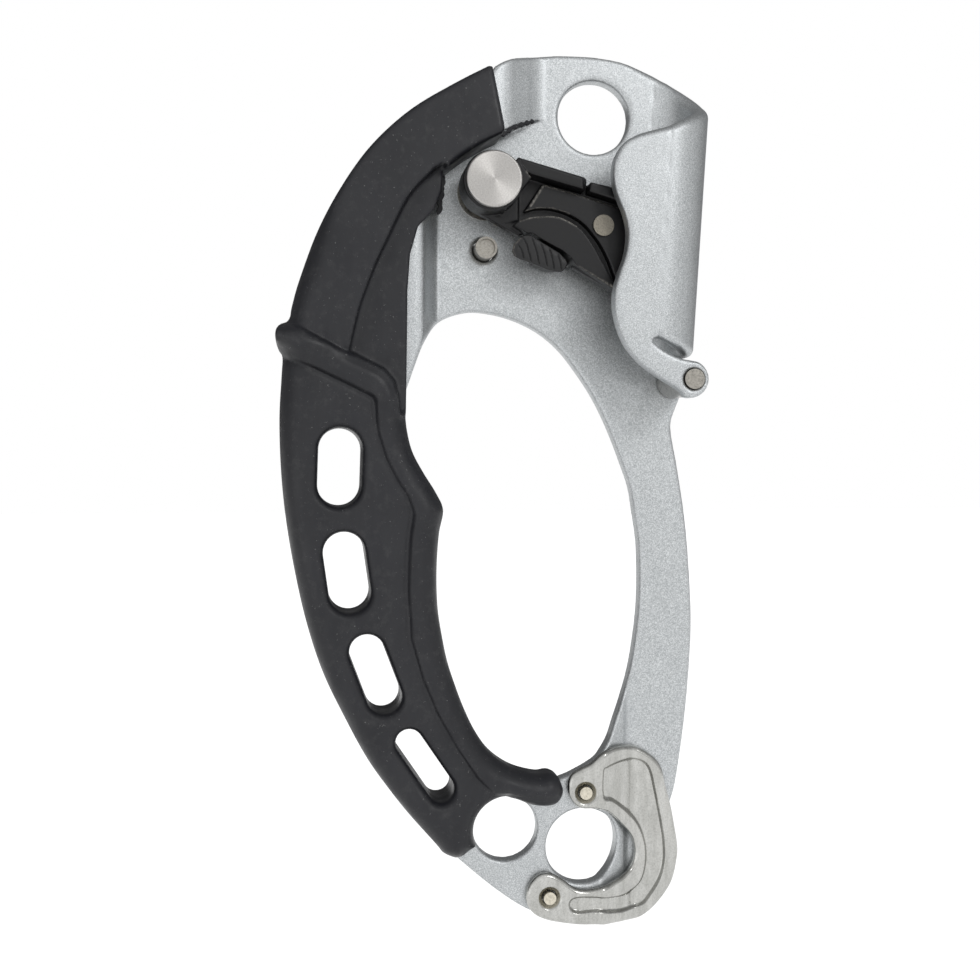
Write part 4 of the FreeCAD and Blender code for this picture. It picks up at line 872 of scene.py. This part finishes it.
def cone(centre, out, side, y, first):
    """Points and quads of one tooth, numbered from first."""
    points, quads = [], []
    for height, r in TOOTH_PROFILE:
        for k in range(TOOTH_SIDES):
            a = 2 * math.pi * k / TOOTH_SIDES
            place = centre + out * height + side * (r * math.cos(a))
            points.append((place[0], y + r * math.sin(a), place[1]))
    levels = len(TOOTH_PROFILE)
    for level in range(levels - 1):
        for k in range(TOOTH_SIDES):
            a = first + level * TOOTH_SIDES + k
            b = first + level * TOOTH_SIDES + (k + 1) % TOOTH_SIDES
            quads.append((a, b, b + TOOTH_SIDES, a + TOOTH_SIDES))
    for level, order in ((0, -1), (levels - 1, 1)):
        ring = [first + level * TOOTH_SIDES + k for k in range(TOOTH_SIDES)][::order]
        for k in range(1, TOOTH_SIDES - 2, 2):
            quads.append((ring[0], ring[k], ring[k + 1], ring[k + 2]))
    return points, quads


def tooth_mesh():
    """Small cones in rows on the cam's curved face."""
    line = smooth(moved(BLOCK_FACE[:-1]), 12)
    run = np.cumsum(np.r_[0, np.linalg.norm(np.diff(line, axis=0), axis=1)])
    points, quads = [], []
    for row in range(TOOTH_ROWS):
        s = run[-1] * (row + 0.7) / (TOOTH_ROWS + 0.4)
        centre = np.array([np.interp(s, run, line[:, i]) for i in (0, 1)])
        ahead = np.array([np.interp(s + 0.2, run, line[:, i]) for i in (0, 1)])
        side = (ahead - centre) / np.linalg.norm(ahead - centre)
        out = np.array([-side[1], side[0]]) if -side[1] > 0 else np.array([side[1], -side[0]])
        count = 3 - row % 2
        for column in range(count):
            y = (column - (count - 1) / 2) * TOOTH_PITCH
            more_points, more_quads = cone(centre, out, side, y, len(points))
            points += more_points
            quads += more_quads
    return points, quads


def add_wear_and_highlight(piece, points, places):
    """Mark edges where the black coat is rubbed off and where an edge highlight is painted."""
    near = np.full(len(points), INF)
    for y, line in places:
        flat = line_distance(moved(line), points[:, 0], points[:, 2])
        near = np.minimum(near, np.hypot(flat, points[:, 1] - y))
    wear_and_highlight_mark = piece.data.attributes.new("wear_and_highlight", "FLOAT", "POINT")
    wear_and_highlight_mark.data.foreach_set("value", np.clip(1.15 - near / WEAR_AND_HIGHLIGHT_REACH, 0, 1).astype(np.float32))


def make_cam():
    points, quads = net(cam_distance, (-47.5, -9, -20), (7, 6, 22), CAM_CELL)
    cam = add_mesh("cam_body", points, quads, cam_black, "cam_body", ("cam",))
    add_wear_and_highlight(cam, points, CAM_WEAR_AND_HIGHLIGHT)
    points, quads = tooth_mesh()
    add_mesh("cam_teeth", points, quads, cam_black, "cam_body", ())


def thumb_pad(x, y, z):
    """The slightly domed pad, cut by grooves and thinner towards its back."""
    pad = polygon(moved(PAD), x, z)
    dome = PAD_DOME * step((-0.5 - pad) / 0.5)
    grooves = np.full(np.broadcast(x, z).shape, INF)
    for groove in PAD_GROOVES:
        grooves = np.minimum(grooves, line_distance(moved(groove), x, z))
    cut = GROOVE_DEPTH * (1 - step((grooves - 0.03) / 0.14))
    taper = 0.55 * np.clip(y + 3.2, 0, 2.5)
    return both(pad + taper, np.maximum(PAD_WALLS[0] - dome + cut - y, y - PAD_WALLS[1]), 0.25)


def catch_distance(x, y, z):
    """The lever: pad, core and an arm to the eye on its rivet."""
    rivet = moved([CATCH_RIVET])[0]
    beyond_hub = ARM_REACH - np.hypot(x - CAM[0], z - CAM[1])
    core = np.maximum(polygon(moved(PAD_CORE), x, z), beyond_hub)
    core = both(core, np.maximum(PAD_CORE_WALLS[0] - y, y - PAD_CORE_WALLS[1]), 0.3)
    arm = np.maximum(polygon(moved(CATCH_ARM), x, z), beyond_hub)
    arm = np.minimum(arm, circle(rivet, ARM_EYE, x, z))
    arm = both(arm, np.maximum(ARM_WALLS[0] - y, y - ARM_WALLS[1]), 0.3)
    body = np.minimum(np.minimum(thumb_pad(x, y, z), core), arm)
    body = np.maximum(body, -circle(rivet, CATCH_BORE, x, z))
    return np.maximum(body, -np.maximum(circle(rivet, CATCH_RECESS[0], x, z), y - CATCH_RECESS[1]))


def make_catch():
    points, quads = net(catch_distance, (-36, -4.6, -7.5), (-8, 6.4, 9.5), CATCH_CELL)
    lever = add_mesh("catch_lever", points, quads, catch_black, "catch_body", ("safety_catch",))
    add_wear_and_highlight(lever, points, PAD_WEAR_AND_HIGHLIGHT)


def finish(material, *names):
    """Metal and a soft edge for solids that show as they are."""
    for name in names:
        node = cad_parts[name]
        if not node.material_slots:
            node.data.materials.append(material)
        for slot in node.material_slots:
            slot.material = material
        soften = node.modifiers.new("soft_edges", "BEVEL")
        soften.width = SOFT_EDGE
        soften.segments = 2
        soften.limit_method = "ANGLE"
        soften.angle_limit = SOFT_ANGLE


make_frame()
make_grip()
make_connector()
make_cam()
make_catch()

finish(turned, "cam_pivot_rivet")
finish(worn_rivet, "catch_rivet")
finish(bright_rivet, "connector_rivet_upper", "connector_rivet_lower")
finish(spring_brass, "cam_spring", "catch_spring")
finish(roller_steel, "roller")
finish(rivet_steel, "cam_bush", "cam_washer", "cam_rivet_washer", "stop_pin", "roller_axle",
       "roller_bush", "roller_washer_front", "roller_washer_back", "rivet_washer_upper",
       "rivet_washer_lower")


# Floor, light and camera

LENS = 48
VIEW_AZIMUTH = math.radians(-8.3)
VIEW_ELEVATION = math.radians(1.5)
VIEW_DISTANCE = 302.5 * MM
TARGET = (-38, 7, -55)
LIT_POINT = (-0.038, 0, -0.055)
BRIGHT_SIDE = (0.22, -0.90, -0.28)
GLOW = [(0.0, grey(0.12)), (0.40, grey(0.26)), (0.66, grey(0.72)), (0.84, grey(0.96)), (1.0, grey(1.0))]
CARDS = [(0.30, grey(1.0)), (0.44, grey(0.60)), (0.58, grey(1.0)), (0.76, grey(0.65)), (0.92, grey(0.9))]
WORLD_STRENGTH = 1.12
FLOOR_REACH = 6.0
FLOOR_HEIGHT = -0.32


def place_camera():
    """The photograph's angle, with the whole part in view."""
    data = bpy.data.cameras.new("camera")
    camera = bpy.data.objects.new("camera", data)
    bpy.context.scene.collection.objects.link(camera)
    data.lens = LENS
    data.sensor_width = 36
    data.clip_start = 0.01
    flat = math.cos(VIEW_ELEVATION)
    back = Vector((math.sin(VIEW_AZIMUTH) * flat, -math.cos(VIEW_AZIMUTH) * flat, math.sin(VIEW_ELEVATION)))
    camera.location = Vector(TARGET) * MM + back * VIEW_DISTANCE
    camera.rotation_euler = (-back).to_track_quat("-Z", "Y").to_euler()
    bpy.context.scene.camera = camera


def white_world():
    """Light that is bright in front and above and falls off to the sides and behind."""
    world = bpy.data.worlds.new("studio")
    bpy.context.scene.world = world
    world.use_nodes = True
    tree = world.node_tree
    out = tree.nodes["World Output"]
    soft = tree.nodes["Background"]
    ray = add_node(tree, "ShaderNodeTexCoord")
    facing = add_node(tree, "ShaderNodeVectorMath", operation="DOT_PRODUCT")
    facing.inputs[1].default_value = Vector(BRIGHT_SIDE).normalized()
    tree.links.new(ray.outputs["Generated"], facing.inputs[0])
    half = add_node(tree, "ShaderNodeMath", operation="MULTIPLY_ADD")
    half.inputs[1].default_value = 0.5
    half.inputs[2].default_value = 0.5
    tree.links.new(facing.outputs["Value"], half.inputs[0])
    glow = ramp(tree, half.outputs[0], GLOW)
    parts = add_node(tree, "ShaderNodeSeparateXYZ")
    tree.links.new(ray.outputs["Generated"], parts.inputs[0])
    cards = ramp(tree, parts.outputs[0], CARDS)
    tree.links.new(mixed(tree, "MULTIPLY", glow, cards, 1.0), soft.inputs["Color"])
    soft.inputs["Strength"].default_value = WORLD_STRENGTH
    seen = add_node(tree, "ShaderNodeBackground", Color=(1, 1, 1, 1), Strength=1.0)
    rays = add_node(tree, "ShaderNodeLightPath")
    mix = add_node(tree, "ShaderNodeMixShader")
    tree.links.new(rays.outputs["Is Camera Ray"], mix.inputs[0])
    tree.links.new(soft.outputs[0], mix.inputs[1])
    tree.links.new(seen.outputs[0], mix.inputs[2])
    tree.links.new(mix.outputs[0], out.inputs["Surface"])


def make_floor():
    """A plain white floor that still takes a faint shadow."""
    material, tree, shader = new_material("floor_white", grey(0.35), 0.0, 0.9)
    shader.inputs["Emission Color"].default_value = (1, 1, 1, 1)
    rays = add_node(tree, "ShaderNodeLightPath")
    glow = add_node(tree, "ShaderNodeMath", operation="MULTIPLY_ADD")
    glow.inputs[1].default_value = 1.0
    tree.links.new(rays.outputs["Is Glossy Ray"], glow.inputs[0])
    tree.links.new(rays.outputs["Is Camera Ray"], glow.inputs[2])
    tree.links.new(glow.outputs[0], shader.inputs["Emission Strength"])
    mesh = bpy.data.meshes.new("floor")
    signs = ((-1, -1), (1, -1), (1, 1), (-1, 1))
    corners = [(a * FLOOR_REACH, b * FLOOR_REACH, FLOOR_HEIGHT) for a, b in signs]
    mesh.from_pydata(corners, [], [(0, 1, 2, 3)])
    mesh.materials.append(material)
    floor = bpy.data.objects.new("floor", mesh)
    bpy.context.scene.collection.objects.link(floor)


def area_light(name, place, size, power):
    """A square lamp aimed at the middle of the part."""
    data = bpy.data.lights.new(name, "AREA")
    data.shape = "SQUARE"
    data.size = size
    data.energy = power
    lamp = bpy.data.objects.new(name, data)
    bpy.context.scene.collection.objects.link(lamp)
    lamp.location = place
    aim = Vector(LIT_POINT) - Vector(place)
    lamp.rotation_euler = aim.to_track_quat("-Z", "Y").to_euler()


place_camera()
white_world()
make_floor()
area_light("key", (0.60, -1.15, 0.60), 0.30, 3.0)
area_light("fill", (-0.55, -0.60, -0.25), 0.6, 0.5)
bpy.context.scene.view_settings.view_transform = "Standard"
